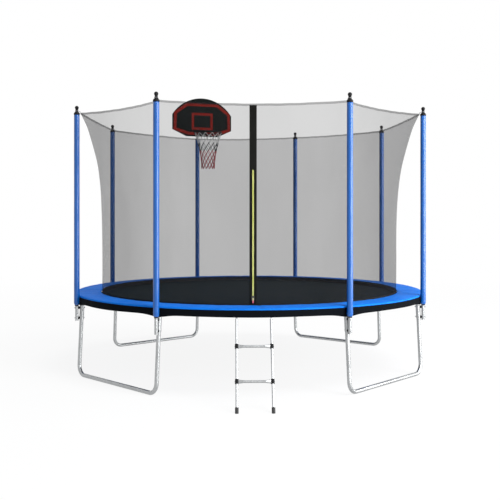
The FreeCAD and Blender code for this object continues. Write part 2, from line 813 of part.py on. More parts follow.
def net_section(half_angle, height, thickness, straight):
    """Closed outline of a net panel at one height, on the +X side."""
    rise = (height - net_foot) / (s.net_top - net_foot)
    share = net_share(height)
    top_middle = s.net_corner_radius * math.cos(half_angle) - s.net_top_slack
    edge_radius = s.net_foot_radius + (s.net_corner_radius - s.net_foot_radius) * share
    middle_share = rise if straight else share
    middle_radius = s.net_foot_radius + (top_middle - s.net_foot_radius) * middle_share
    rows = []
    for offset in (thickness / 2, -thickness / 2):
        outer = edge_radius + offset
        corner_x = outer * math.cos(half_angle)
        corner_y = outer * math.sin(half_angle)
        pull = 2 * (middle_radius + offset) - corner_x
        curve = Part.BezierCurve()
        curve.setPoles(
            [Vector(corner_x, -corner_y, height), Vector(pull, 0, height), Vector(corner_x, corner_y, height)]
        )
        rows.append(curve)
    outer_row, inner_row = rows
    right = Part.LineSegment(outer_row.EndPoint, inner_row.EndPoint).toShape()
    left = Part.LineSegment(inner_row.StartPoint, outer_row.StartPoint).toShape()
    edges = [outer_row.toShape(), right, inner_row.toShape(), left]
    return Part.Wire(Part.sortEdges(edges)[0])


def net_panel(low, high, heights, thickness, straight=False):
    """Thin curved panel between two poles."""
    half_angle = math.radians(high - low) / 2
    sections = [net_section(half_angle, height, thickness, straight) for height in heights]
    panel = Part.makeLoft(sections, True, False)
    panel.Placement = compass((low + high) / 2)
    return panel


def pole_bearings():
    """Bearings of the poles, once round from the front left one."""
    bearings = sorted(upright_bearing(end, side, half) for _, end, side, half in UPRIGHTS)
    start = upright_bearing("front", -1, -1)
    return sorted(bearing if bearing >= start else bearing + 360 for bearing in bearings)


def make_net():
    """Net panels, foot band and top hem, with the door band in the front panel."""
    bearings = pole_bearings()
    spans = list(zip(bearings, bearings[1:] + [bearings[0] + 360]))
    hem_bottom = s.net_top - s.hem_height
    step = (hem_bottom - s.net_foot_top) / (NET_LEVELS - 1)
    heights = [s.net_foot_top + step * level for level in range(NET_LEVELS)]
    panels = []
    hems = []
    for low, high in spans:
        front = low < 0 < high
        panel = net_panel(low, high, heights, s.net_thickness, front)
        if front:
            gap = Part.makeBox(
                s.door_band_width,
                s.ring_radius,
                s.sleeve_top,
                Vector(-s.door_band_width / 2, -s.ring_radius * 1.2, 0),
            )
            panel = panel.cut(gap)
        panels.extend(panel.Solids)
        hems.append(net_panel(low, high, [hem_bottom, s.net_top], s.hem_thickness, front))
    shape_node("enclosure_net", Part.makeCompound(panels))
    shape_node("net_top_hem", hems[0].fuse(hems[1:]))
    half = s.net_thickness / 2
    foot_band = disc(
        "net_foot_band",
        [s.net_foot_radius + half, s.net_foot_radius - half],
        net_foot,
        s.net_foot_top - net_foot,
    )
    add_node(foot_band, "net_foot_band")


def door_line():
    """Net's middle radius at the foot and at the top edge of the front panel."""
    half_angle = math.radians(s.front_leg_bearing - s.leg_span / 2)
    top = s.net_corner_radius * math.cos(half_angle) - s.net_top_slack
    return s.net_foot_radius, top


def door_radius(height):
    foot, top = door_line()
    return foot + (top - foot) * ((height - net_foot) / (s.net_top - net_foot))


def door_strip(name, low, high, inside, outside, width):
    """Straight strip that follows the door's line between two heights."""
    points = [
        (door_radius(low) + inside, low),
        (door_radius(low) + outside, low),
        (door_radius(high) + outside, high),
        (door_radius(high) + inside, high),
    ]
    add_node(padded(name, "XZ_Plane", points, width), name, compass(0))


def make_door():
    """Door band, zip teeth on its outer face, slider and pull tab."""
    half = s.door_band_thickness / 2
    hem_bottom = s.net_top - s.hem_height
    door_strip("door_band", s.net_foot_top, hem_bottom, -half, half, s.door_band_width)
    door_strip("zip_teeth", s.zip_bottom, s.zip_top, half, half + s.zip_thickness, s.zip_width)
    make_slider(half)


def make_slider(band_half):
    """Zip slider over the teeth, with two ears that hold the pull's pin."""
    foot, top = door_line()
    lean = math.atan2(top - foot, s.net_top - net_foot)
    seat_height = s.zip_bottom + s.slider_height
    seat = Vector(door_radius(seat_height), 0, seat_height)
    place = compass(0).multiply(Placement(seat, Rotation(Vector(0, 1, 0), math.degrees(lean))))
    back = band_half + s.fit_gap
    channel = band_half + s.zip_thickness + s.fit_gap
    front = channel + s.slider_plate
    pin_radius = s.pull_pin / 2
    pin_x = front + s.pull_pin
    block = Part.makeBox(
        front - back, s.slider_width, s.slider_height, Vector(back, -s.slider_width / 2, -s.slider_height / 2)
    )
    taper_edges = [edge for edge in block.Edges if edge.Vertexes[0].Z < 0 and edge.Vertexes[1].Z < 0]
    taper_edges = [edge for edge in taper_edges if abs(edge.Vertexes[0].Y - edge.Vertexes[1].Y) < s.fit_gap]
    block = block.makeChamfer(s.slider_width / 5, taper_edges)
    groove_width = s.zip_width + s.fit_gap * 2
    groove = Part.makeBox(
        channel - back, groove_width, s.slider_height * 2, Vector(back, -groove_width / 2, -s.slider_height)
    )
    ear_thickness = s.pull_pin
    ear_inner = s.pull_width / 2 + s.fit_gap
    ears = []
    for side in (-1, 1):
        start = ear_inner if side > 0 else -ear_inner - ear_thickness
        ears.append(Part.makeCylinder(s.pull_pin, ear_thickness, Vector(pin_x, start, 0), Vector(0, 1, 0)))
        root = Vector(front - s.fit_gap, start, -s.pull_pin)
        ears.append(Part.makeBox(pin_x - front + s.fit_gap, ear_thickness, s.pull_pin * 2, root))
    pin_span = (ear_inner + ear_thickness) * 2
    pin_hole = Part.makeCylinder(
        pin_radius + s.fit_gap / 6, pin_span, Vector(pin_x, -pin_span / 2, 0), Vector(0, 1, 0)
    )
    slider = block.cut(groove).fuse(ears).cut(pin_hole).removeSplitter()
    shape_node("zip_slider", copies(slider, [place]).Solids[0])
    pin = Part.makeCylinder(pin_radius, pin_span, Vector(pin_x, -pin_span / 2, 0), Vector(0, 1, 0))
    eye = Part.makeCylinder(
        s.pull_pin * 0.9, s.pull_width, Vector(pin_x, -s.pull_width / 2, 0), Vector(0, 1, 0)
    )
    tab = Part.makeBox(
        s.pull_thickness,
        s.pull_width,
        s.pull_length,
        Vector(pin_x - s.pull_thickness / 2, -s.pull_width / 2, -s.pull_length),
    )
    end_edges = [edge for edge in tab.Edges if edge.BoundBox.ZMax < -s.pull_length / 2]
    end_edges = [edge for edge in end_edges if edge.BoundBox.YLength < s.fit_gap]
    tab = tab.makeFillet(s.pull_width / 3, end_edges)
    pull = tab.fuse([eye, pin]).removeSplitter()
    shape_node("zip_pull", copies(pull, [place]).Solids[0])


def make_net_ties(bearings):
    """Elastic loops from the net's corners round the necks of the caps."""
    cord = s.v_ring_wire / 2
    loop_radius = s.cap_neck / 2 + cord + s.fit_gap
    level = s.sleeve_top + s.cap_collar_height + s.cap_shoulder + cord * 2
    loop = Part.makeTorus(loop_radius, cord, Vector(pole_radius, 0, level))
    bend = Vector(pole_radius - s.cap_collar / 2 - cord * 3, 0, level)
    hem_end = Vector(s.net_corner_radius, 0, s.net_top + cord + s.fit_gap)
    loop_end = Vector(pole_radius - loop_radius, 0, level)
    pieces = [
        Part.makeCylinder(cord, (bend - loop_end).Length, loop_end, bend - loop_end),
        Part.makeSphere(cord, bend),
        Part.makeCylinder(cord, (hem_end - bend).Length, bend, hem_end - bend),
        Part.makeSphere(cord, hem_end),
    ]
    tie = loop.fuse(pieces)
    shape_node("net_ties", copies(tie, [compass(bearing) for bearing in bearings]))


def rail_line():
    """Upper end, lower end and unit direction of a ladder rail, in the YZ plane."""
    ring_y = -math.sqrt(s.ring_radius ** 2 - (s.ladder_spacing / 2) ** 2)
    bend_height = s.rail_top + s.rail_tube / 2
    strap_y = ring_y - hook_radius
    foot = Vector(0, -s.ring_radius - s.ladder_reach, 0)
    bend = Vector(0, strap_y, bend_height)
    direction = (foot - bend).normalize()
    top = bend + direction * ((bend_height - s.rail_top) / -direction.z)
    return ring_y, bend, top, foot, direction


def on_rail(height):
    """Point of the rail's axis at a height."""
    _, bend, _, _, direction = rail_line()
    return bend + direction * ((bend.z - height) / -direction.z)


def rail_side(side):
    return Vector(side * s.ladder_spacing / 2, 0, 0)


def make_rail(side, name):
    """Straight ladder rail, drilled for the rung bolts."""
    _, _, top, foot, direction = rail_line()
    end = foot - direction * float(s.foot_sole + s.rail_tube / 2)
    start = top + rail_side(side)
    length = (end - top).Length
    tube = primitive("Cylinder", name + "_tube", along(start, direction), Radius=s.rail_tube / 2, Height=length)
    bore = primitive(
        "Cylinder", name + "_bore", along(start, direction), Radius=rail_bore, Height=length
    )
    holes = []
    reach = s.rail_tube * 2
    for level, height in (("high", s.upper_rung_height), ("low", s.lower_rung_height)):
        middle = on_rail(height) + rail_side(side) - Vector(reach / 2, 0, 0)
        place = along(middle, Vector(1, 0, 0))
        radius = s.ladder_bolt / 2 + s.bolt_hole_gap
        holes.append(primitive("Cylinder", f"{name}_hole_{level}", place, Radius=radius, Height=reach))
    add_node(cut(name, tube, [bore] + holes), name)


def oval(name, place, along_rail, across):
    """Outline of a rung's section, its longer way along the rail."""
    if along_rail > across:
        return primitive("Ellipse", name, place, MajorRadius=along_rail, MinorRadius=across)
    return primitive("Circle", name, place, Radius=across)


def make_rung(height, name):
    """Round rung with both ends pressed flat against the rail clips."""
    _, _, _, _, direction = rail_line()
    centre = on_rail(height)
    clip_face = s.ladder_spacing / 2 - s.rail_tube / 2 - s.fit_gap * 2 - s.clip_wall
    flare_start = clip_face - s.rung_flare
    half_round = s.rung_tube / 2
    stations = [
        (-clip_face, s.rung_end_height / 2, s.rung_end_thickness / 2),
        (-flare_start, half_round, half_round),
        (flare_start, half_round, half_round),
        (clip_face, s.rung_end_height / 2, s.rung_end_thickness / 2),
    ]
    turn = Rotation(direction * -1, Vector(1, 0, 0).cross(direction * -1), Vector(1, 0, 0), "ZXY")
    rung = doc.addObject("Part::Loft", name + "_tube")
    rung.Sections = [
        oval(f"{name}_section_{number}", Placement(centre + Vector(x, 0, 0), turn), along_rail, across)
        for number, (x, along_rail, across) in enumerate(stations)
    ]
    rung.Solid = True
    rung.Ruled = True
    holes = []
    for side in (-1, 1):
        where = along(centre + Vector(side * clip_face, 0, 0), Vector(-side, 0, 0))
        radius = s.ladder_bolt / 2 + s.bolt_hole_gap
        depth = s.rung_flare / 2
        holes.append(primitive("Cylinder", f"{name}_hole_{side + 1}", where, Radius=radius, Height=depth))
    add_node(cut(name, rung, holes), name)


def make_ladder_fittings():
    """Rung clips, rung bolts, rubber feet and the hooks over the ring."""
    ring_y, bend, top, foot, direction = rail_line()
    rail = s.rail_tube / 2 + s.fit_gap
    clips = []
    bolts = []
    feet = []
    hooks = []
    for side in (-1, 1):
        inward = Vector(-side, 0, 0)
        for height in (s.upper_rung_height, s.lower_rung_height):
            middle = on_rail(height) + rail_side(side)
            base = middle - direction * float(s.clip_height / 2)
            outer = Part.makeCylinder(rail + s.clip_wall, s.clip_height, base, direction)
            bore = Part.makeCylinder(rail, s.clip_height, base, direction)
            hole = Part.makeCylinder(
                s.ladder_bolt / 2 + s.bolt_hole_gap, s.rail_tube * 3, middle - inward * float(s.rail_tube), inward
            )
            clips.append(outer.cut([bore, hole]))
            head_face = middle - inward * float(rail + s.clip_wall + s.fit_gap)
            shank_length = (rail + s.clip_wall) * 2 + s.rung_flare / 2
            shank = Part.makeCylinder(s.ladder_bolt / 2, shank_length, head_face, inward)
            head = Part.makeCylinder(s.ladder_bolt, s.ladder_bolt / 2, head_face, inward * -1)
            bolts.append(shank.fuse(head).removeSplitter())
        foot_top = foot + rail_side(side) - direction * float(s.foot_height)
        rubber = Part.makeCylinder(rail + s.foot_wall, s.foot_height * 2, foot_top, direction)
        rail_end = foot + rail_side(side) - direction * float(s.foot_sole + s.rail_tube / 2 - s.fit_gap)
        pocket = Part.makeCylinder(rail, s.foot_height * 2, rail_end, direction * -1)
        below = Part.makeBox(
            s.foot_height * 4,
            s.foot_height * 8,
            s.foot_height * 4,
            Vector(-s.foot_height * 2, -s.foot_height * 4, -s.foot_height * 4) + foot + rail_side(side),
        )
        feet.append(rubber.cut([pocket, below]))
        hooks.append(ladder_hook(side, ring_y, bend, direction))
    shape_node("ladder_clips", Part.makeCompound(clips))
    shape_node("ladder_bolts", Part.makeCompound(bolts))
    shape_node("ladder_feet", Part.makeCompound(feet))
    shape_node("ladder_hooks", Part.makeCompound(hooks))


def ladder_hook(side, ring_y, bend, direction):
    """Steel strap bent over the ring, its tail inside the rail."""
    centre = Vector(0, ring_y, s.ring_height - s.hook_drop)

    def on_hook(degrees):
        angle = math.radians(degrees)
        return centre + Vector(0, math.cos(angle), math.sin(angle)) * float(hook_radius)

    tip = on_hook(-s.hook_wrap)
    crown = on_hook(90)
    outer = on_hook(180)
    tail = bend + direction * float(s.hook_in_rail)
    path = Part.Wire(
        [
            Part.Arc(tip, crown, outer).toShape(),
            Part.LineSegment(outer, bend).toShape(),
            Part.LineSegment(bend, tail).toShape(),
        ]
    )
    strap = path.makeOffset2D(s.hook_thickness / 2, 0, True, False, False)
    strap.translate(rail_side(side) - Vector(hook_width / 2, 0, 0))
    return strap.extrude(Vector(hook_width, 0, 0)).Solids[0]


def make_hoop():
    """Basketball hoop on a post in the top of one pole."""
    bearing = next(upright_bearing(end, side, half) for name, end, side, half in UPRIGHTS if name == HOOP_POLE)
    place = compass(bearing)
    make_hoop_post(place)
    make_backboard(place)
    make_hoop_bracket(place)
    make_rim(place)
    make_hoop_net(place)
    make_hoop_bolts(place)


def make_hoop_post(place):
    """Tube that drops into the pole and stops on its collar."""
    radius = s.pole_tube / 2 - s.tube_wall - s.post_clearance
    start = pole_top - s.post_insertion
    base = Placement(Vector(pole_radius, 0, start), Rotation())
    seat = Placement(Vector(pole_radius, 0, pole_top + s.fit_gap), Rotation())
    height = s.post_insertion + s.post_rise
    tube = primitive("Cylinder", "hoop_post_tube", base, Radius=radius, Height=height)
    collar = primitive("Cylinder", "hoop_post_collar", seat, Radius=s.pole_tube / 2, Height=s.post_collar)
    bore = primitive("Cylinder", "hoop_post_bore", base, Radius=radius - s.tube_wall, Height=height)
    holes = [bracket_hole(f"hoop_post_hole_{number}", height) for number, height in bracket_bolt_heights()]
    add_node(cut("hoop_post", fuse("hoop_post_joined", [tube, collar]), [bore] + holes), "hoop_post", place)


def bracket_bolt_heights():
    """Heights of the two bolts through bracket and post."""
    low = s.board_bottom + s.bracket_base
    return [(1, low + s.bracket_height / 5), (2, low + s.bracket_height * 4 / 5)]


def bracket_hole(name, height):
    reach = s.bracket_width
    start = Vector(pole_radius, -reach / 2, height)
    return primitive("Cylinder", name, along(start, Vector(0, 1, 0)), Radius=bolt_hole, Height=reach)


def make_backboard(place):
    """Fan shaped board with an arched top and cut lower corners."""
    rise = s.board_height - s.board_side_high
    arch = (s.board_half_width * s.board_half_width + rise * rise) / (rise * 2)
    low = s.board_bottom
    body = padded(
        "backboard_panel",
        "YZ_Plane",
        [
            (-s.board_foot_half_width, low),
            (s.board_foot_half_width, low),
            (s.board_half_width, low + s.board_side_low),
            (s.board_half_width, low + s.board_side_high, arch),
            (-s.board_half_width, low + s.board_side_high),
            (-s.board_half_width, low + s.board_side_low),
        ],
        s.board_thickness,
        Placement(Vector(pole_radius - s.board_setback - s.board_thickness / 2, 0, 0), Rotation()),
    )
    holes = []
    for number, (y, z) in enumerate(board_bolt_points()):
        start = Vector(pole_radius - s.board_setback - s.board_thickness * 2, y, z)
        where = along(start, Vector(1, 0, 0))
        holes.append(
            primitive(
                "Cylinder", f"backboard_hole_{number}", where, Radius=bolt_hole, Height=s.board_thickness * 3
            )
        )
    add_node(cut("backboard", body, holes), "backboard", place)


def board_bolt_points():
    """Four bracket bolts and two rim bolts, as places on the board."""
    y = s.bracket_width / 2 - s.bolt_head
    low = s.board_bottom + s.bracket_base
    points = []
    for height in (low + s.bolt_head * 2, low + s.bracket_height - s.bolt_head * 2):
        points.extend([(-y, height), (y, height)])
    rim_y = s.rim_plate_width / 2 - s.bolt_head * 2
    rim_z = s.board_bottom + s.rim_plate_height / 2
    points.extend([(-rim_y, rim_z), (rim_y, rim_z)])
    return points


def make_hoop_bracket(place):
    """Plate on the back of the board with two cheeks that hold the post."""
    low = s.board_bottom + s.bracket_base
    board_back = pole_radius - s.board_setback
    radius = s.pole_tube / 2 - s.tube_wall - s.post_clearance
    plate_corner = Vector(board_back + s.fit_gap, -s.bracket_width / 2, low)
    plate = primitive(
        "Box",
        "hoop_bracket_plate",
        Placement(plate_corner, Rotation()),
        Length=s.bracket_plate,
        Width=s.bracket_width,
        Height=s.bracket_height,
    )
    cheeks = []
    for side in (-1, 1):
        y = radius + s.fit_gap if side > 0 else -radius - s.fit_gap - s.bracket_plate
        cheeks.append(
            primitive(
                "Box",
                f"hoop_bracket_cheek_{side + 1}",
                Placement(Vector(board_back + s.fit_gap, y, low), Rotation()),
                Length=s.board_setback + radius,
                Width=s.bracket_plate,
                Height=s.bracket_height,
            )
        )
    holes = [bracket_hole(f"hoop_bracket_hole_{number}", height) for number, height in bracket_bolt_heights()]
    for number, (y, z) in enumerate(board_bolt_points()[:4]):
        where = along(Vector(board_back - s.bracket_plate, y, z), Vector(1, 0, 0))
        holes.append(
            primitive(
                "Cylinder", f"hoop_bracket_screw_{number}", where, Radius=bolt_hole, Height=s.bracket_plate * 3
            )
        )
    item = cut("hoop_bracket", fuse("hoop_bracket_joined", [plate] + cheeks), holes)
    add_node(item, "hoop_bracket", place)


def rim_centre():
    board_front = pole_radius - s.board_setback - s.board_thickness
    x = board_front - s.rim_reach - s.rim_radius - s.rim_bar / 2
    return Vector(x, 0, s.board_bottom + s.rim_above_board_foot)


def make_rim(place):
    """Round bar rim with two arms welded to its board plate."""
    board_front = pole_radius - s.board_setback - s.board_thickness
    centre = rim_centre()
    bar = primitive(
        "Torus", "rim_bar_ring", Placement(centre, Rotation()), Radius1=s.rim_radius, Radius2=s.rim_bar / 2
    )
    plate_corner = Vector(board_front - s.fit_gap - s.rim_plate_thickness, -s.rim_plate_width / 2, s.board_bottom)
    plate = primitive(
        "Box",
        "rim_plate",
        Placement(plate_corner, Rotation()),
        Length=s.rim_plate_thickness,
        Width=s.rim_plate_width,
        Height=s.rim_plate_height,
    )
    arms = []
    arm_y = s.rim_plate_width / 2 - s.rim_bar / 2
    for side in (-1, 1):
        reach = s.rim_reach + s.rim_radius - math.sqrt(s.rim_radius ** 2 - arm_y ** 2) + s.rim_bar / 2
        start = Vector(plate_corner.x, side * arm_y, centre.z)
        arms.append(
            primitive(
                "Cylinder", f"rim_arm_{side + 1}", along(start, Vector(-1, 0, 0)), Radius=s.rim_bar / 3, Height=reach
            )
        )
    holes = []
    for number, (y, z) in enumerate(board_bolt_points()[4:]):
        where = along(Vector(plate_corner.x - s.rim_bar * 3, y, z), Vector(1, 0, 0))
        holes.append(primitive("Cylinder", f"rim_hole_{number}", where, Radius=bolt_hole, Height=s.rim_bar * 4))
    joined = fuse("rim_joined", [bar, plate] + arms)
    add_node(cut("rim", joined, holes), "rim", place)


def hoop_net_radius(share):
    """Radius of the hoop net from its top, share 0, to its lower end, share 1."""
    top = s.rim_radius - s.rim_bar / 4
    return s.hoop_net_end_radius + (top - s.hoop_net_end_radius) * (1 - share) ** 1.8


def make_hoop_net(place):
    """Tapering net under the rim with diamond meshes."""
    centre = rim_centre()
    half = s.hoop_net_cord / 2
    top = centre.z - s.rim_bar / 2 - s.fit_gap
    steps = HOOP_NET_ROWS * 2
    inner = []
    outer = []
    for step in range(steps + 1):
        share = step / steps
        level = top - s.hoop_net_length * share
        inner.append(Vector(hoop_net_radius(share) - half, 0, level))
        outer.append(Vector(hoop_net_radius(share) + half, 0, level))
    loop = outer + inner[::-1] + outer[:1]
    shell = Part.Face(Part.makePolygon(loop)).revolve(Vector(), Vector(0, 0, 1), 360)
    row_height = s.hoop_net_length / HOOP_NET_ROWS
    cuts = []
    for row in range(HOOP_NET_ROWS * 2 - 1):
        share = (row + 1) / (HOOP_NET_ROWS * 2)
        level = top - s.hoop_net_length * share
        radius = hoop_net_radius(share)
        half_width = math.pi * radius / HOOP_NET_MESHES - s.hoop_net_cord * 0.75
        half_height = row_height / 2 - s.hoop_net_cord
        for mesh in range(HOOP_NET_MESHES):
            turn = (mesh + 0.5 * (row % 2)) * 360 / HOOP_NET_MESHES
            cuts.append(diamond(radius, half_width, half_height, level, turn))
    net = shell.cut(cuts)
    net.translate(Vector(centre.x, 0, 0))
    shape_node("hoop_net", copies(net, [place]).Solids[0])


def diamond(radius, half_width, half_height, level, turn):
    """Diamond prism through the wall of the hoop net."""
    inner = radius / 2
    corners = [
        Vector(inner, 0, level - half_height),
        Vector(inner, half_width * inner / radius, level),
        Vector(inner, 0, level + half_height),
        Vector(inner, -half_width * inner / radius, level),
    ]
    far = [Vector(radius * 1.5, corner.y * radius * 1.5 / inner, corner.z) for corner in corners]
    wires = [Part.makePolygon(row + row[:1]) for row in (corners, far)]
    prism = Part.makeLoft(wires, True, True)
    prism.rotate(Vector(), Vector(0, 0, 1), turn)
    return prism


def make_hoop_bolts(place):
    """Bolts of the bracket, the post and the rim."""
    board_back = pole_radius - s.board_setback
    board_front = board_back - s.board_thickness
    points = board_bolt_points()
    bolts = []
    for y, z in points[:4]:
        grip = s.board_thickness + s.bracket_plate + s.fit_gap * 3
        bolt = through_bolt(s.bolt_diameter, s.bolt_head, grip)
        bolt.Placement = along(Vector(board_front - s.fit_gap, y, z), Vector(1, 0, 0))
        bolts.append(bolt)
    for y, z in points[4:]:
        grip = s.board_thickness + s.rim_plate_thickness + s.fit_gap * 3
        bolt = through_bolt(s.bolt_diameter, s.bolt_head, grip)
        bolt.Placement = along(Vector(board_front - s.rim_plate_thickness - s.fit_gap * 2, y, z), Vector(1, 0, 0))
        bolts.append(bolt)
    radius = s.pole_tube / 2 - s.tube_wall - s.post_clearance
    half_grip = radius + s.fit_gap * 2 + s.bracket_plate
    for _, height in bracket_bolt_heights():
        bolt = through_bolt(s.bolt_diameter, s.bolt_head, half_grip * 2)
        bolt.Placement = along(Vector(pole_radius, -half_grip, height), Vector(0, 1, 0))
        bolts.append(bolt)
    shape_node("hoop_bolts", copies(Part.makeCompound(bolts), [place]))


def check_and_export():
    """Stop on any failed object, then write one STEP file for each sub-part."""
    doc.recompute()
    for item in doc.Objects:
        if "Invalid" in item.State or "Error" in item.State:
            raise RuntimeError(f"{item.Label} failed: {item.State}")
    for item in nodes:
        shape = item.Shape
        if shape.isNull() or not shape.isValid() or not shape.Solids:
            raise RuntimeError(f"{item.Label} has no valid shape")
        shape.exportStep(f"parts/{item.Label}.step")
        print(f"{item.Label}: {len(shape.Solids)} solids, {shape.Volume / 1000:.0f} cm3")


make_ring()
make_legs()
bearings = {name: upright_bearing(end, side, half) for name, end, side, half in UPRIGHTS}
for pole_name, pole_bearing in bearings.items():
    make_pole(pole_name, pole_bearing)
for pole_name, pole_bearing in bearings.items():
    make_sleeve(pole_name, pole_bearing)
capped = [bearing for name, bearing in bearings.items() if name != HOOP_POLE]
make_caps(capped)
make_pole_fasteners(UPRIGHTS)
make_spring_pad()
make_skirt()
make_mat()
make_springs()
make_net()
make_door()
make_net_ties(capped)
make_rail(-1, "ladder_rail_left")
make_rail(1, "ladder_rail_right")
make_rung(s.upper_rung_height, "ladder_rung_upper")
make_rung(s.lower_rung_height, "ladder_rung_lower")
make_ladder_fittings()
make_hoop()
check_and_export()
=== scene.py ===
"""Looks of the garden trampoline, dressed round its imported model.

Metres, +Z up, origin on the ground under the middle of the mat, door towards -Y.
A bearing is measured from -Y, positive towards +X.
"""

import math

import bmesh
import bpy
import numpy as np
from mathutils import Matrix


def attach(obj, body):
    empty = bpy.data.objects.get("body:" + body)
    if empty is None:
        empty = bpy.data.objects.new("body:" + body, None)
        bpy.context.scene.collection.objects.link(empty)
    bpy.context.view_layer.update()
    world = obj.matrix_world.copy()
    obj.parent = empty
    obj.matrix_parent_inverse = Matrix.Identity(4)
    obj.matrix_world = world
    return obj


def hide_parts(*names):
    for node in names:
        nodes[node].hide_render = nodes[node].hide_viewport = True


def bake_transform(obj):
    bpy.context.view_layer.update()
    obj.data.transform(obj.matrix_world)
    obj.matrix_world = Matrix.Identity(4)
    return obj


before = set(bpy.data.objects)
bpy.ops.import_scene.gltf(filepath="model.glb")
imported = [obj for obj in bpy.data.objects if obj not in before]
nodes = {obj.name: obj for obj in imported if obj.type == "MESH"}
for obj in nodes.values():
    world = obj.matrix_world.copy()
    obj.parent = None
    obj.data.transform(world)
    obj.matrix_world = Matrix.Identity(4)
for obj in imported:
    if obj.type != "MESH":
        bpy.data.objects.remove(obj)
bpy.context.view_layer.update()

# Sizes and bearings, most of them those of the solids
ring_radius = 1.810
ring_height = 0.750
pole_radius = 1.8656
pole_bearings = np.array([-27, 27, 67, 120, 160, 200, 240, 293, 333], float)
capped_bearings = np.array([-27, 27, 67, 120, 160, 240, 293], float)
hoop_bearing = -160.0
rail_offset = 0.1475
pad_radius = 1.70535
pad_half_width = 0.1293
pad_level = 0.7804
pad_rise = 0.0098
pad_depth = 0.0105
pad_crown = 0.0042
pad_panels = 8
seam_radius = 1.8355
seam_height = 0.7745
skirt_fall = 0.0600
skirt_dip = 0.020
skirt_thickness = 0.0011
skirt_rows = 20
mat_radius = 1.586
mat_half_thickness = 0.001
mat_sag = 0.006
strap_inner = 1.557
strap_outer = 1.600
strap_low = 0.7515
strap_high = 0.7541
stitch_rows = (1.565, 1.578, 1.592)
stretch_outer = 1.795
stretch_run = 1.345
net_still = 0.95
sleeve_low = 0.6882
sleeve_high = 2.5758
sleeve_radius = 0.0272
sleeve_foot_radius = 0.0182
sleeve_bore = 0.0163
sleeve_gather = 0.034
sleeve_round = 0.004
net_foot = 0.7546
net_low = 0.800
net_high = 2.576
hem_low = 2.558
hem_middle = 2.5660
corner_lift = 0.022
corner_pull = 0.0135
panel_sag = 0.12
foot_radius = 1.567
corner_radius = 1.815
top_slack = 0.022
waist = 0.25
flare = 2.3
neck_radius = 0.0165
neck_height = 2.6125
door_half_width = 0.032
zip_low = 0.813
zip_high = 1.985
board_front = 1.6573
board_low = 2.587
rim_radius = 0.168
rim_reach = 0.062
hoop_net_top = 2.6048
hoop_net_drop = 0.4395
hoop_net_wide = 0.164
hoop_net_narrow = 0.080
spring_count = 72
spring_inner = 1.6450
spring_outer = 1.7702
coil_core = 0.0096
coil_relief = 0.0014
coil_turns = 21
hook_level = 0.7487


# Camera
camera_data = bpy.data.cameras.new("camera")
camera = bpy.data.objects.new("camera", camera_data)
bpy.context.scene.collection.objects.link(camera)
camera.location = (-0.185, -8.59, 1.594)
camera.rotation_euler = (math.pi / 2, 0, -0.0225)
camera_data.lens = 57.1
camera_data.shift_y = -0.0714
camera_data.sensor_width = 36
camera_data.clip_end = 200
bpy.context.scene.camera = camera
bpy.context.scene.view_settings.view_transform = "Standard"


# Meshes from arrays
def grid_faces(rows, cols, wrap_rows, wrap_cols):
    """Quads of a grid: corner (i, j) is point i * cols + j, and a wrapped side runs on to its first line.

    Returns the quads, and the row and the column of each of their corners.
    """
    i, j = np.meshgrid(
        np.arange(rows if wrap_rows else rows - 1), np.arange(cols if wrap_cols else cols - 1), indexing="ij"
    )
    i, j = i.ravel(), j.ravel()
    row = np.stack([i, i + 1, i + 1, i], 1)
    col = np.stack([j, j, j + 1, j + 1], 1)
    return (row % rows) * cols + col % cols, row, col


def put_mesh(name, points, faces, uv=None, closed=False, smooth=True):
    """A mesh object of points (n, 3) and quads (m, 4); uv holds a pair for each corner of each quad."""
    mesh = bpy.data.meshes.new(name)
    mesh.vertices.add(len(points))
    mesh.vertices.foreach_set("co", np.ascontiguousarray(points, np.float32).ravel())
    mesh.loops.add(faces.size)
    mesh.loops.foreach_set("vertex_index", np.ascontiguousarray(faces, np.int32).ravel())
    mesh.polygons.add(len(faces))
    mesh.polygons.foreach_set("loop_start", np.arange(0, faces.size, faces.shape[1], dtype=np.int32))
    mesh.update(calc_edges=True)
    mesh.polygons.foreach_set("use_smooth", np.full(len(faces), smooth))
    if uv is not None:
        layer = mesh.uv_layers.new(name="flat_cloth")
        layer.data.foreach_set("uv", np.ascontiguousarray(uv, np.float32).ravel())
    if closed:
        shell = bmesh.new()
        shell.from_mesh(mesh)
        bmesh.ops.remove_doubles(shell, verts=shell.verts, dist=1e-6)
        bmesh.ops.recalc_face_normals(shell, faces=shell.faces)
        shell.to_mesh(mesh)
        shell.free()
    piece = bpy.data.objects.new(name, mesh)
    bpy.context.scene.collection.objects.link(piece)
    return piece


def grid_piece(name, points, wrap_rows=False, wrap_cols=False, spans=(1.0, 1.0), closed=False, smooth=True):
    """A grid (rows, cols, 3) as a mesh; its UV runs to spans[0] over columns, to spans[1] over rows."""
    rows, cols = points.shape[:2]
    faces, row, col = grid_faces(rows, cols, wrap_rows, wrap_cols)
    across = cols if wrap_cols else cols - 1
    up = rows if wrap_rows else rows - 1
    uv = np.stack([col * spans[0] / across, row * spans[1] / up], -1)
    return put_mesh(name, points.reshape(-1, 3), faces, uv, closed, smooth)


def many_grids(name, points):
    """Equal grids (count, rows, cols, 3), each wrapped over its columns, as one closed mesh."""
    count, rows, cols = points.shape[:3]
    faces, row, col = grid_faces(rows, cols, False, True)
    shifted = (faces[None] + (np.arange(count) * rows * cols)[:, None, None]).reshape(-1, 4)
    uv = np.tile(np.stack([col / cols, row / rows], -1), (count, 1, 1))
    return put_mesh(name, points.reshape(-1, 3), shifted, uv, closed=True)


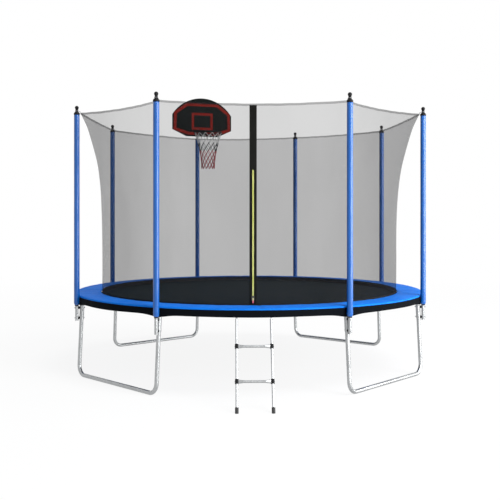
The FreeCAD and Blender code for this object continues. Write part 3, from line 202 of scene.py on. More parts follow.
def turn_to(points, bearings):
    """Points made on the +X side, turned about Z to each bearing: one copy for each."""
    angle = np.radians(np.asarray(bearings, float) - 90)
    cos, sin = np.cos(angle), np.sin(angle)
    shape = (len(angle),) + (1,) * (points.ndim - 1)
    cos, sin = cos.reshape(shape), sin.reshape(shape)
    x, y, z = points[None, ..., 0], points[None, ..., 1], points[None, ..., 2]
    return np.stack([x * cos - y * sin, x * sin + y * cos, z + 0 * cos], -1)


def around(radius, height, bearings):
    """Rings of a profile: radius and height (bearings, profile) become points about Z."""
    angle = np.radians(bearings)[:, None]
    return np.stack([radius * np.sin(angle), -radius * np.cos(angle), height + 0 * angle], -1)


def tube(path, radius, sides, side_axis):
    """A round tube on each path (..., n, 3): every point gets a circle across its tangent.

    The circle's first direction is the tangent crossed with side_axis, its second the tangent crossed with
    the first. The ends close to a point.
    """
    radius = np.broadcast_to(np.asarray(radius, float), path.shape[:-1])
    tangent = np.gradient(path, axis=-2)
    tangent /= np.linalg.norm(tangent, axis=-1, keepdims=True)
    first = np.cross(tangent, np.broadcast_to(np.asarray(side_axis, float), tangent.shape))
    first /= np.linalg.norm(first, axis=-1, keepdims=True)
    second = np.cross(tangent, first)
    turn = np.linspace(0, 2 * math.pi, sides, endpoint=False)
    ring = first[..., None, :] * np.cos(turn)[:, None] + second[..., None, :] * np.sin(turn)[:, None]
    body = path[..., None, :] + ring * radius[..., None, None]
    start = np.broadcast_to(path[..., :1, None, :], body[..., :1, :, :].shape)
    end = np.broadcast_to(path[..., -1:, None, :], body[..., :1, :, :].shape)
    return np.concatenate([start, body, end], axis=-3)


def smooth_path(corners, count, width):
    """A route through corners, resampled to count points by length and averaged over width points."""
    corners = np.asarray(corners, float)
    length = np.r_[0, np.cumsum(np.linalg.norm(np.diff(corners, axis=0), axis=1))]
    places = np.linspace(0, length[-1], count)
    path = np.stack([np.interp(places, length, corners[:, k]) for k in range(3)], 1)
    window = np.ones(width) / width
    edge = np.pad(path, ((width // 2, width // 2), (0, 0)), mode="reflect", reflect_type="odd")
    return np.stack([np.convolve(edge[:, k], window, mode="valid") for k in range(3)], 1)[:count]


def ripple(angle, waves, seed):
    """Sum of cosines of the given wave numbers with seeded phases and sizes, about -1 to 1."""
    chance = np.random.default_rng(seed)
    total = 0 * angle
    for wave in waves:
        total = total + chance.uniform(0.5, 1.0) * np.cos(wave * angle + chance.uniform(0, 2 * math.pi))
    return total / max(1.0, 0.6 * len(waves))


def ease(value):
    """Smooth step from 0 to 1."""
    value = np.clip(value, 0, 1)
    return value * value * (3 - 2 * value)


# Materials
class Finish:
    """A material's node tree with a few short ways to add to it."""

    def __init__(self, name, rough, metallic=0.0, coat=0.0, coat_rough=0.12, specular=0.5):
        self.material = bpy.data.materials.new(name)
        self.material.use_nodes = True
        self.tree = self.material.node_tree
        self.shader = self.tree.nodes["Principled BSDF"]
        self.shader.inputs["Roughness"].default_value = rough
        self.shader.inputs["Metallic"].default_value = metallic
        self.shader.inputs["Coat Weight"].default_value = coat
        self.shader.inputs["Coat Roughness"].default_value = coat_rough
        self.shader.inputs["Specular IOR Level"].default_value = specular

    def node(self, kind, links=None, **settings):
        """A node with its settings, fed by the outputs in links."""
        made = self.tree.nodes.new(kind)
        for key, value in settings.items():
            setattr(made, key, value)
        for key, source in (links or {}).items():
            if isinstance(source, bpy.types.NodeSocket):
                self.tree.links.new(source, made.inputs[key])
            else:
                made.inputs[key].default_value = source
        return made

    def place(self, scale=(1, 1, 1), turn=0.0, cloth=False):
        """Object coordinates, or the cloth's own flat UV, scaled and turned."""
        coordinates = self.node("ShaderNodeTexCoord").outputs["UV" if cloth else "Object"]
        mapping = self.node("ShaderNodeMapping", {"Vector": coordinates, "Scale": scale})
        mapping.inputs["Rotation"].default_value = (0, 0, turn)
        return mapping.outputs["Vector"]

    def noise(self, where, scale, detail=3.0):
        links = {"Vector": where, "Scale": scale, "Detail": detail}
        return self.node("ShaderNodeTexNoise", links).outputs["Fac"]

    def bands(self, where, scale, direction="X", distortion=0.0):
        wave = self.node("ShaderNodeTexWave", {"Vector": where, "Scale": scale, "Distortion": distortion})
        wave.bands_direction = direction
        return wave.outputs["Fac"]

    def remap(self, value, low, high, new_low, new_high):
        links = {"Value": value, "From Min": low, "From Max": high, "To Min": new_low, "To Max": new_high}
        return self.node("ShaderNodeMapRange", links).outputs["Result"]

    def combine(self, first, second, operation="MULTIPLY"):
        return self.node("ShaderNodeMath", {0: first, 1: second}, operation=operation).outputs[0]

    def colours(self, factor, first, second):
        """Goes from the first colour to the second as factor rises."""
        mix = self.node("ShaderNodeMix", data_type="RGBA")
        self.tree.links.new(factor, mix.inputs["Factor"])
        for key, colour in (("A", first), ("B", second)):
            socket = [s for s in mix.inputs if s.name == key and s.type == "RGBA"][0]
            if isinstance(colour, bpy.types.NodeSocket):
                self.tree.links.new(colour, socket)
            else:
                socket.default_value = (*colour, 1)
        return [s for s in mix.outputs if s.type == "RGBA"][0]

    def colour(self, source):
        self.tree.links.new(source, self.shader.inputs["Base Color"])

    def roughness(self, source):
        self.tree.links.new(source, self.shader.inputs["Roughness"])

    def bump(self, height, distance, strength=0.5):
        bump = self.node("ShaderNodeBump", {"Height": height, "Distance": distance, "Strength": strength})
        self.tree.links.new(bump.outputs["Normal"], self.shader.inputs["Normal"])


def zinc_finish(name, light, dark, rough):
    """Galvanised steel: broad crystal patches, fine grain and soft drifts of sheen."""
    finish = Finish(name, rough, metallic=1.0)
    where = finish.place()
    crystals = finish.node("ShaderNodeTexVoronoi", {"Vector": where, "Scale": 60.0}).outputs["Distance"]
    patches = finish.noise(where, 9.0, 3.0)
    mixed = finish.combine(finish.remap(crystals, 0.0, 0.7, 0.35, 1.0), patches)
    finish.colour(finish.colours(finish.remap(mixed, 0.15, 0.6, 0, 1), dark, light))
    finish.roughness(finish.remap(patches, 0.3, 0.7, rough - 0.05, rough + 0.08))
    finish.bump(finish.noise(where, 40.0, 2.0), 0.0001, 0.04)
    return finish.material


def plastic_finish(name, light, dark, rough, grain=900.0, specular=0.4):
    """Moulded plastic or enamel: faint colour drift and a fine moulded grain."""
    finish = Finish(name, rough, specular=specular)
    where = finish.place()
    drift = finish.noise(where, 18.0, 3.0)
    finish.colour(finish.colours(finish.remap(drift, 0.3, 0.7, 0, 1), dark, light))
    finish.roughness(finish.remap(drift, 0.3, 0.7, rough - 0.05, rough + 0.07))
    finish.bump(finish.noise(where, grain, 2.0), 0.0002, 0.3)
    return finish.material


def vinyl_finish(name, light, dark, rough, crease, coat, specular, hem=0.0):
    """Coated sheet: soft creases, slight colour drift, a fine pressed grain, and black tape below the hem."""
    finish = Finish(name, rough, coat=coat, coat_rough=0.2, specular=specular)
    where = finish.place()
    drift = finish.noise(finish.place(crease), 6.0, 3.0)
    wrinkle = finish.noise(finish.place(crease), 26.0, 4.0)
    shade = finish.colours(finish.remap(drift, 0.3, 0.7, 0, 1), dark, light)
    if hem:
        black_tape = (0.004, 0.005, 0.012)
        height = finish.node("ShaderNodeSeparateXYZ", {"Vector": where}).outputs["Z"]
        shade = finish.colours(finish.remap(height, hem, hem + 0.002, 0, 1), black_tape, shade)
    finish.colour(shade)
    finish.roughness(finish.remap(wrinkle, 0.3, 0.7, rough - 0.05, rough + 0.09))
    grain = finish.remap(finish.noise(where, 700.0, 2.0), 0, 1, 0, 0.12)
    finish.bump(finish.combine(wrinkle, grain, "ADD"), 0.002, 0.3)
    return finish.material


def woven_finish(name, light, dark, rough, threads, cloth=True):
    """Woven cloth: two sets of threads cross, over a slow drift of colour."""
    finish = Finish(name, rough, specular=0.04)
    where = finish.place(cloth=cloth)
    warp = finish.bands(where, threads, "X")
    weft = finish.bands(where, threads, "Y")
    weave = finish.combine(warp, weft)
    drift = finish.noise(finish.place(), 5.0, 4.0)
    shade = finish.combine(finish.remap(weave, 0, 1, 0.25, 0.75), finish.remap(drift, 0.3, 0.7, 0.4, 1.3))
    finish.colour(finish.colours(shade, dark, light))
    finish.roughness(finish.remap(drift, 0.3, 0.7, rough - 0.08, rough + 0.08))
    finish.bump(weave, 0.0006, 0.5)
    return finish.material


def net_finish(name, thread, threads, open_share):
    """See-through net: diagonal threads cross and alpha drops between them. Towards its left and right sides
    the cover is raised, a painted shade that stands in for the darker look where the net is seen edge-on.
    """
    finish = Finish(name, 0.7, specular=0.05)
    one = finish.bands(finish.place(turn=math.radians(45), cloth=True), threads, "X")
    other = finish.bands(finish.place(turn=math.radians(-45), cloth=True), threads, "X")
    mesh = finish.combine(one, other, "MAXIMUM")
    drift = finish.noise(finish.place((1, 1, 0.4)), 2.2, 3.0)
    finish.colour(finish.colours(drift, [0.85 * c for c in thread], [1.15 * c for c in thread]))
    cover = finish.remap(mesh, 0.0, 1.0, open_share - 0.14, open_share + 0.07)
    # Painted shade: cover rises by up to a quarter from 0.9 m to 1.5 m out along X, faking the net's darker
    # look seen edge-on.
    sides = finish.node("ShaderNodeSeparateXYZ", {"Vector": finish.place()}).outputs["X"]
    sides = finish.remap(finish.combine(sides, 0.0, "ABSOLUTE"), 0.9, 1.5, 1.0, 1.25)
    cover = finish.combine(finish.combine(cover, finish.remap(drift, 0.3, 0.7, 0.95, 1.05)), sides)
    finish.tree.links.new(cover, finish.shader.inputs["Alpha"])
    return finish.material


def hoop_cord_finish():
    """Twisted cord dyed in three zones by height: white at the rim, then black, then red at the lower end."""
    finish = Finish("hoop_cord_dyed", 0.65, specular=0.1)
    where = finish.place()
    twist = finish.bands(where, 90.0, "Z", 3.0)
    height = finish.node("ShaderNodeSeparateXYZ", {"Vector": where}).outputs["Z"]
    height = finish.combine(height, finish.remap(finish.noise(where, 40.0), 0.3, 0.7, -0.012, 0.012), "ADD")
    white, black, red = (0.42, 0.43, 0.42), (0.006, 0.010, 0.011), (0.26, 0.045, 0.055)
    upper = finish.colours(finish.remap(height, 2.475, 2.490, 0, 1), black, white)
    finish.colour(finish.colours(finish.remap(height, 2.380, 2.395, 0, 1), red, upper))
    finish.roughness(finish.remap(twist, 0, 1, 0.55, 0.75))
    finish.bump(twist, 0.0008, 0.6)
    return finish.material


def pull_finish():
    """Moulded pull tab: cream at the slider, and a red grip below it."""
    finish = Finish("pull_two_tone", 0.45, specular=0.2)
    where = finish.place()
    height = finish.node("ShaderNodeSeparateXYZ", {"Vector": where}).outputs["Z"]
    drift = finish.noise(where, 60.0, 2.0)
    height = finish.combine(height, finish.remap(drift, 0.3, 0.7, -0.0005, 0.0005), "ADD")
    cream, red = (0.66, 0.60, 0.26), (0.62, 0.10, 0.16)
    finish.colour(finish.colours(finish.remap(height, 0.8330, 0.8345, 0, 1), red, cream))
    finish.roughness(finish.remap(drift, 0.3, 0.7, 0.40, 0.52))
    finish.bump(finish.noise(where, 900.0, 2.0), 0.0002, 0.3)
    return finish.material


zinc = zinc_finish("zinc_tube", (0.44, 0.45, 0.455), (0.34, 0.35, 0.355), 0.38)
bright_zinc = zinc_finish("zinc_fastener", (0.50, 0.50, 0.51), (0.32, 0.32, 0.34), 0.30)
spring_zinc = zinc_finish("zinc_spring", (0.52, 0.53, 0.54), (0.36, 0.37, 0.38), 0.30)
dark_steel = zinc_finish("dark_fastener", (0.035, 0.034, 0.034), (0.020, 0.020, 0.020), 0.45)
ladder_zinc = zinc_finish("zinc_ladder", (0.50, 0.51, 0.52), (0.40, 0.41, 0.42), 0.46)
black_plastic = plastic_finish(
    "black_moulding", (0.010, 0.010, 0.011), (0.005, 0.005, 0.006), 0.50, specular=0.12
)
black_rubber = plastic_finish("black_rubber", (0.030, 0.030, 0.030), (0.018, 0.018, 0.018), 0.72, 400.0)
slider_paint = plastic_finish("slider_enamel", (0.05, 0.05, 0.045), (0.025, 0.025, 0.02), 0.30)
pull_plastic = pull_finish()
teeth_plastic = plastic_finish("teeth_yellow", (0.68, 0.70, 0.24), (0.54, 0.57, 0.14), 0.50, specular=0.15)
board_plastic = plastic_finish(
    "board_black", (0.005, 0.007, 0.006), (0.003, 0.004, 0.004), 0.60, 300.0, specular=0.03
)
board_red = plastic_finish("board_red_lines", (0.18, 0.012, 0.008), (0.13, 0.008, 0.005), 0.55, specular=0.03)
rim_paint = plastic_finish(
    "rim_black", (0.009, 0.009, 0.009), (0.005, 0.005, 0.005), 0.50, 300.0, specular=0.06
)
pad_vinyl = vinyl_finish("pad_blue", (0.008, 0.190, 0.76), (0.005, 0.150, 0.66), 0.55, (1, 1, 2), 0.0, 0.04)
sleeve_vinyl = vinyl_finish(
    "sleeve_blue", (0.002, 0.098, 0.40), (0.001, 0.084, 0.35), 0.4, (1, 1, 0.25), 1.0, 0.02, 0.7
)
skirt_cloth = woven_finish("skirt_black", (0.005, 0.006, 0.009), (0.002, 0.003, 0.004), 0.85, 60.0)
mat_cloth = woven_finish("mat_black", (0.014, 0.023, 0.028), (0.006, 0.009, 0.011), 0.85, 90.0, cloth=False)
strap_cloth = woven_finish("strap_black", (0.028, 0.028, 0.030), (0.012, 0.012, 0.014), 0.6, 120.0)
tape_cloth = woven_finish("tape_black", (0.014, 0.014, 0.013), (0.005, 0.005, 0.004), 0.6, 160.0)
tie_cloth = woven_finish("tie_grey", (0.40, 0.40, 0.41), (0.22, 0.22, 0.23), 0.6, 200.0, cloth=False)
hoop_cord = hoop_cord_finish()
net_cloth = net_finish("net_mesh", (0.012, 0.012, 0.013), 55.0, 0.32)
hem_cloth = net_finish("net_hem", (0.016, 0.016, 0.017), 90.0, 0.36)
foot_cloth = net_finish("net_foot", (0.015, 0.015, 0.016), 70.0, 0.93)


def dress(piece, material, body="frame"):
    """Gives a new piece its material and the body that it rides on."""
    piece.data.materials.clear()
    piece.data.materials.append(material)
    if body:
        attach(piece, body)
    return piece


def finish_nodes(material, *names):
    """Gives the named CAD nodes, or all whose names start so, their material."""
    for name, node in nodes.items():
        if name.startswith(names):
            for place in node.material_slots:
                place.material = material


finish_nodes(zinc, "ring_section", "leg_", "pole_", "ladder_rung")
finish_nodes(black_plastic, "pole_caps", "pole_spacers", "ladder_clips")
finish_nodes(bright_zinc, "pole_bolts", "hoop_post", "hoop_bracket", "ladder_bolts", "ladder_hooks")
finish_nodes(dark_steel, "hoop_bolts")
finish_nodes(ladder_zinc, "ladder_rail")
finish_nodes(black_rubber, "ladder_feet")
finish_nodes(slider_paint, "zip_slider")
finish_nodes(pull_plastic, "zip_pull")
finish_nodes(board_plastic, "backboard")
finish_nodes(rim_paint, "rim")


def blend_by(piece, share):
    """Lays each point of a piece on a line by its share, 0 at the first body and 1 at the second, bakes the
    piece's transform, and then puts the points back in their places. The points are laid on that line by
    their share while it reads them, and then go back to their places.
    """
    mesh = piece.data
    places = np.empty(len(mesh.vertices) * 3, np.float32)
    mesh.vertices.foreach_get("co", places)
    line = np.zeros((len(mesh.vertices), 3), np.float32)
    line[:, 0] = share(places.reshape(-1, 3).astype(float))
    mesh.vertices.foreach_set("co", line.ravel())
    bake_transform(piece)
    mesh.vertices.foreach_set("co", places)
    mesh.update()
    return piece


def mat_share(points):
    """Share of the mat's movement: none at the ring, rising inwards to the whole of it near the middle."""
    radius = np.hypot(points[:, 0], points[:, 1])
    return np.clip((stretch_outer - radius) / stretch_run, 0, 1)


def net_share(points):
    """Share of the mat's movement in the net: that of the mat's edge at its foot, none from net_still up."""
    at_foot = (stretch_outer - foot_radius) / stretch_run
    return np.clip((net_still - points[:, 2]) / (net_still - net_foot), 0, 1) * at_foot


# Spring pad
def pad_grid():
    """Ring of foam: a rounded oblong section with a crown, sewn in panels, with soft waves along its edges.

    The section is a superellipse: width times sign(cos) |cos|^0.28, height times sign(sin) |sin|^0.35. Its
    underside is pressed up at the ladder's two hooks, as an exponential of the squared distance from each.
    """
    bearing = np.linspace(0, 360, 960, endpoint=False)
    turn = np.linspace(0, 2 * math.pi, 44, endpoint=False)
    angle = np.radians(bearing)[:, None]
    across = np.sign(np.cos(turn)) * np.abs(np.cos(turn)) ** 0.28
    up = np.sign(np.sin(turn)) * np.abs(np.sin(turn)) ** 0.35
    panel = 360 / pad_panels
    to_seam = np.abs((bearing - 2 + panel / 2) % panel - panel / 2)
    seam = np.exp(-((to_seam / 0.35) ** 2))[:, None]
    puff = 1 - np.exp(-to_seam / 2.0)[:, None]
    upper = np.clip(up, 0, 1)
    outer = np.clip(across, 0, 1) ** 4
    waves = ripple(angle, (23, 37, 61, 89), 3)
    height = pad_level + np.where(up > 0, pad_rise, pad_depth) * up
    height = height + upper * (pad_crown * (1 - across**2) * puff + 0.0012 * waves - 0.0035 * seam)
    edge = outer * np.clip(up + 0.2, 0, 1)
    edge_waves = 0.0008 * ripple(angle, (41, 67, 113), 5) - 0.0015 * seam
    radius = pad_radius + pad_half_width * across + edge * edge_waves
    from_rail = np.abs(ring_radius * np.sin(angle)) - rail_offset
    hooks = np.exp(-((from_rail / 0.016) ** 2)) * (np.cos(angle) > 0)
    near_ring = np.exp(-(((radius - ring_radius + 0.001) / 0.019) ** 2))
    height = height + np.clip(-up, 0, 1) * hooks * near_ring * 0.0045
    return around(radius, height, bearing)


spring_pad = grid_piece("spring_pad_cover", pad_grid(), True, True, (0.6, 10.7), closed=True)
dress(spring_pad, pad_vinyl)
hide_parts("spring_pad")


# Skirt
def skirt_grid():
    """Hanging band: rows of points down its outside and up its inside, with folds that grow towards the hem.

    The hem dips by skirt_dip beside each pole, as an exponential of the squared distance in degrees.
    """
    bearing = np.linspace(0, 360, 1080, endpoint=False)
    angle = np.radians(bearing)[:, None]
    fall = np.linspace(0, 1, skirt_rows)
    fall = np.r_[fall, fall[::-1]][None, :]
    inside = np.r_[np.zeros(skirt_rows), np.ones(skirt_rows)][None, :]
    folds = ripple(angle, (29, 47, 71, 103), 11)
    to_pole = np.abs((bearing[:, None] - pole_bearings[None, :-1] + 180) % 360 - 180).min(axis=1)[:, None]
    droop = 0.0025 * ripple(angle, (5, 9, 14), 7) + skirt_dip * np.exp(-((to_pole / 3.4) ** 2))
    radius = seam_radius + fall**1.3 * 0.0012 * folds - inside * skirt_thickness
    height = seam_height - fall * (skirt_fall + droop)
    return around(radius, height, bearing)


def skirt_share(points):
    """Share of the ladder's swing for the band between the rails, below its seam.

    Down it the share is 1 - exp(-depth / 6.5 mm) below 0.760 m, and beside the rails it eases to none.
    """
    down = 1 - np.exp(-np.clip(0.7600 - points[:, 2], 0, 1) / 0.0065)
    sideways = ease((0.34 - np.abs(points[:, 0])) / 0.14) * (points[:, 1] < 0)
    return down * sideways


pad_skirt = grid_piece("pad_skirt_cloth", skirt_grid(), True, True, (0.15, 11.5), closed=True)
dress(pad_skirt, skirt_cloth, None)
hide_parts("pad_skirt")
blend_by(pad_skirt, skirt_share)


# Mat
def mat_grid():
    """Disc of two faces: rings from the middle out over the top and back underneath.

    It sags in the middle by mat_sag, as a parabola.
    """
    bearing = np.linspace(0, 360, 144, endpoint=False)
    out = np.r_[0.0001, np.linspace(0.06, mat_radius, 40)]
    radius = np.r_[out, out[::-1]][None, :] * np.ones((len(bearing), 1))
    face = np.full(len(out), mat_half_thickness)
    height = ring_height - mat_sag * (1 - (radius / mat_radius) ** 2)
    height = height + np.r_[face, -face][None, :]
    return around(radius, height, bearing)


mat = grid_piece("jumping_mat_cloth", mat_grid(), True, False, closed=True)
dress(mat, mat_cloth, None)
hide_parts("jumping_mat")
blend_by(mat, mat_share)


def band_grid(inner, outer, low, high, bearings, steps):
    """Flat ring band: steps points out over its top and back underneath."""
    out = np.linspace(inner, outer, steps)
    radius = np.r_[out, out[::-1]][None, :] * np.ones((len(bearings), 1))
    height = np.r_[np.full(steps, high), np.full(steps, low)][None, :] * np.ones((len(bearings), 1))
    return radius, height


def webbing_grid():
    """Edge strap, with three rows of stitching pressed into it."""
    steps = 22
    bearing = np.linspace(0, 360, 720, endpoint=False)
    radius, height = band_grid(strap_inner, strap_outer, strap_low, strap_high, bearing, steps)
    top = np.r_[np.ones(steps), np.zeros(steps)][None, :]
    for row in stitch_rows:
        height = height - top * 0.0008 * np.exp(-(((radius - row) / 0.0015) ** 2))
    return around(radius, height, bearing)


webbing = grid_piece("mat_edge_strap", webbing_grid(), True, True, (0.086, 9.9), closed=True)
dress(webbing, strap_cloth, None)
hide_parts("mat_webbing")
blend_by(webbing, mat_share)

spring_bearings = (np.arange(spring_count) + 0.5) * 360 / spring_count


def v_ring_paths():
    """Bent wire triangle: bar in the strap's loop, two arms out to the apex, one turn overlapping itself."""
    corners = [(1.5903, 0.0), (1.5903, 0.015), (1.6223, 0.0), (1.5903, -0.015), (1.5903, 0.0)]
    return smooth_path([(x, y, hook_level) for x, y in corners], 26, 3)


v_rings = many_grids("v_ring_wires", tube(turn_to(v_ring_paths(), spring_bearings), 0.002, 6, (0, 0, 1)))
dress(v_rings, spring_zinc, None)
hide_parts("v_rings")
blend_by(v_rings, mat_share)


def coil_grid():
    """Close wound coil: a cylinder whose radius rises over each turn of wire, with the turns' slant round it.

    Radius is coil_core plus coil_relief times |cos| of half the wire's phase, and it narrows over the last
    turn at each end.
    """
    length = np.linspace(spring_inner, spring_outer, 84)[:, None]
    turn = np.linspace(0, 2 * math.pi, 12, endpoint=False)[None, :]
    share = (length - spring_inner) / (spring_outer - spring_inner)
    phase = share * coil_turns * 2 * math.pi - turn
    narrow = ease(np.minimum(share, 1 - share) / 0.05)
    radius = (coil_core + coil_relief * np.abs(np.cos(phase / 2))) * (0.35 + 0.65 * narrow)
    body = np.stack([length + 0 * turn, radius * np.cos(turn), ring_height + radius * np.sin(turn)], -1)
    start = np.broadcast_to(body[:1].mean(axis=1, keepdims=True), body[:1].shape)
    end = np.broadcast_to(body[-1:].mean(axis=1, keepdims=True), body[:1].shape)
    return np.concatenate([start, body, end])


coils = many_grids("spring_coils", turn_to(coil_grid(), spring_bearings))
hook_inner = [(1.652, 0, 0.750), (1.632, 0, 0.7505), (1.6200, 0, 0.7535), (1.6155, 0, 0.7487),
              (1.6190, 0, 0.7437), (1.6280, 0, 0.7455)]
hook_outer = [(1.764, 0, 0.750), (1.780, 0, 0.7505), (1.7885, 0, 0.7500), (1.7895, 0, 0.7440)]
inner_hooks = turn_to(smooth_path(hook_inner, 16, 3), spring_bearings)
outer_hooks = turn_to(smooth_path(hook_outer, 16, 3), spring_bearings)
sideways = turn_to(np.array([[0.0, 1.0, 0.0]]), spring_bearings)
hook_grids = [tube(paths, 0.0016, 6, sideways) for paths in (inner_hooks, outer_hooks)]
hooks = many_grids("spring_hooks", np.concatenate(hook_grids))
for piece in (coils, hooks):
    dress(piece, spring_zinc, None)
    blend_by(piece, mat_share)
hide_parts("springs")


# Pole sleeves
def sleeve_grid(bearing, number):
    """Foam sleeve: a bored round tube with slight dents, pleated in to the pole at its foot.

    The outside runs up 104 levels, then the profile turns in at the top and comes back down at the pole.
    """
    sides = 30
    turn = np.linspace(0, 2 * math.pi, sides, endpoint=False)[:, None]
    level = np.r_[np.linspace(0, 0.03, 12), np.linspace(0.034, 0.986, 84), np.linspace(0.989, 1, 8)]
    height = sleeve_low + level * (sleeve_high - sleeve_low)
    from_foot = (height - sleeve_low) / sleeve_gather
    from_top = (sleeve_high - height) / sleeve_round
    gather = ease(from_foot)
    radius = sleeve_foot_radius + (sleeve_radius - sleeve_foot_radius) * gather
    radius = radius - sleeve_round * (1 - np.sqrt(np.clip(1 - (1 - np.clip(from_top, 0, 1)) ** 2, 0, 1)))
    pleats = 0.0011 * np.cos(9 * turn + number) * np.exp(-from_foot / 1.2) * np.clip(from_foot + 0.3, 0, 1)
    dents = 0.00035 * ripple(height * 9 + 3 * turn, (1, 2.3, 3.7), number) * gather
    outside = radius[None, :] + pleats + dents
    inside = np.full((sides, 2), sleeve_bore)
    all_radius = np.concatenate([outside, inside], 1)
    all_height = np.r_[height, sleeve_high, sleeve_low][None, :] * np.ones((sides, 1))
    points = np.stack([all_radius * np.cos(turn), all_radius * np.sin(turn), all_height], -1)
    points[..., 0] += pole_radius
    return turn_to(points, [bearing])[0]


sleeve_places = {
    "front_left": -27, "left_front": -67, "left_back": -120, "back_left": -160,
    "back_right": 160, "right_back": 120, "right_front": 67, "front_right": 27,
}
for number, (place, bearing) in enumerate(sleeve_places.items()):
    points = sleeve_grid(bearing, number)
    sleeve = grid_piece(f"sleeve_{place}_cover", points, True, True, (1.9, 0.16), closed=True)
    dress(sleeve, sleeve_vinyl)
    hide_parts("pole_sleeve_" + place)


# Net
def net_open(height):
    """How far the net has opened towards the poles, and its rise from 0 to 1.

    It stays at 0 up to the waist, and then goes with the power flare to 1 at the top.
    """
    rise = (height - net_foot) / (net_high - net_foot)
    return np.clip((rise - waist) / (1 - waist), 0, 1) ** flare, rise


def net_lines(height, steps, folds=0.0):
    """Net's outline at each height (n) as points (n, 8 * steps, 3): a quadratic curve from pole to pole.

    Its ends lie on the corner radius and its middle on the sagged radius; the front panel's middle opens
    evenly, so that the zip is straight. Folds push it in and out between the poles. Near the top its corners
    are drawn out by corner_pull. Its upper edge is lifted at each capped pole, and sags between the poles as
    a parabola, by panel_sag times the square of half the panel's angle in radians.
    """
    share, rise = net_open(height)
    rows = []
    for low, high in zip(pole_bearings[:-1], pole_bearings[1:]):
        half = math.radians(high - low) / 2
        top_middle = corner_radius * math.cos(half) - top_slack
        edge = foot_radius + (corner_radius - foot_radius) * share
        open_share = rise if low < 0 < high else share
        middle = foot_radius + (top_middle - foot_radius) * open_share
        edge = edge + corner_pull * ease((height - 2.42) / 0.14)
        t = np.linspace(0, 1, steps, endpoint=False)[None, :]
        ends = (edge * math.cos(half))[:, None]
        pull = 2 * middle[:, None] - ends
        x = (1 - t) ** 2 * ends + 2 * t * (1 - t) * pull + t**2 * ends
        y = (edge * math.sin(half))[:, None] * (2 * t - 1)
        calm = np.clip(np.abs(y) / 0.25, 0, 1) if low < 0 < high else 1.0
        swell = np.sin(math.pi * t) * folds * calm * ease(rise / 0.2)[:, None]
        wave = ripple(t * 2 * math.pi + rise[:, None] * 1.7, (2, 3, 5), int(low + 400))
        x = x + swell * wave
        first, last = (corner_lift * (end % 360 in capped_bearings % 360) for end in (low, high))
        sag = panel_sag * half**2 * 4 * t * (1 - t)
        drift = first * (1 - t) + last * t - sag
        points = np.stack([x, y, height[:, None] + ease((height - 2.20) / 0.36)[:, None] * drift], -1)
        rows.append(turn_to(points, [(low + high) / 2])[0])
    return np.concatenate(rows, 1)


net_points = net_lines(np.linspace(net_low, hem_low, 64), 44, 0.005)
net = grid_piece("net_cloth", net_points, False, True, (10.4, 1.746))
dress(net, net_cloth, None)
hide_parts("enclosure_net")
foot_points = net_lines(np.linspace(net_foot, net_low, 6), 24)
foot_band = grid_piece("net_foot_cloth", foot_points, False, True, (9.85, 0.045))
dress(foot_band, foot_cloth, None)
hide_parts("net_foot_band")


def hem_grid():
    """Folded tape along the net's top: a flat section 5 mm thick on the net's own line, a little wavy."""
    line = net_lines(np.array([hem_middle]), 40)[0]
    along = np.roll(line, -1, 0) - np.roll(line, 1, 0)
    outward = np.stack([along[:, 1], -along[:, 0], 0 * along[:, 0]], -1)
    outward /= np.linalg.norm(outward, axis=1, keepdims=True)
    step = np.arange(len(line)) * 2 * math.pi / len(line)
    wave = 0.0012 * ripple(step, (33, 57, 81), 21)
    section = np.array([(-0.0019, -0.0095), (0.0019, -0.0095), (0.0024, 0), (0.0019, 0.0085), (0, 0.0098),
                        (-0.0019, 0.0085), (-0.0024, 0)])
    points = line[:, None, :] + outward[:, None, :] * section[None, :, :1]
    points[..., 2] += section[None, :, 1] + wave[:, None]
    return points


hem = grid_piece("net_hem_tape", hem_grid(), True, True, (0.05, 11.0), closed=True)
dress(hem, hem_cloth)
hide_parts("net_top_hem")


def tie_paths():
    """Elastic tie: from the net's corner up to the cap, once round its neck and back on itself."""
    turn = np.linspace(math.pi, -math.pi, 25)
    neck = np.full(len(turn), neck_height)
    loop = np.stack([pole_radius + neck_radius * np.cos(turn), neck_radius * np.sin(turn), neck], -1)
    lead = [(1.8290, 0.0, 2.5860), (1.8290, 0.0, 2.600), (1.8300, 0.0, 2.6090)]
    return smooth_path(np.concatenate([lead, loop]), 60, 3)


tie_tubes = tube(turn_to(tie_paths(), capped_bearings), 0.0022, 7, (0.02, 0.01, 1))
ties = many_grids("net_tie_cords", tie_tubes)
dress(ties, tie_cloth)
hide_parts("net_ties")


# Door
door_top = corner_radius * math.cos(math.radians(27)) - top_slack


def door_points(across, height, outward):
    """Points on the door's straight line, across it, at a height and outside it."""
    slope = (door_top - foot_radius) / (net_high - net_foot)
    radius = foot_radius + slope * (height - net_foot) + outward
    return np.stack(np.broadcast_arrays(across, -radius, height), -1)


def strip_grid(half_width, low, high, inside, outside, levels):
    """Flat tape on the door's line: a thin oblong section, pressed in along its two rows of stitches."""
    x = np.linspace(-half_width, half_width, 17)
    press = 0.0005 * np.exp(-(((np.abs(x) - 0.8 * half_width) / 0.002) ** 2))
    across = np.r_[x, x[::-1]][None, :]
    outward = np.r_[outside - press, np.full(len(x), inside)][None, :]
    height = np.linspace(low, high, levels)[:, None]
    return door_points(across, height, outward)


band_points = strip_grid(door_half_width, net_low, hem_low, -0.0016, 0.0016, 90)
band = grid_piece("door_band_tape", band_points, False, True, (0.12, 1.75))
dress(band, tape_cloth, None)
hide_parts("door_band")


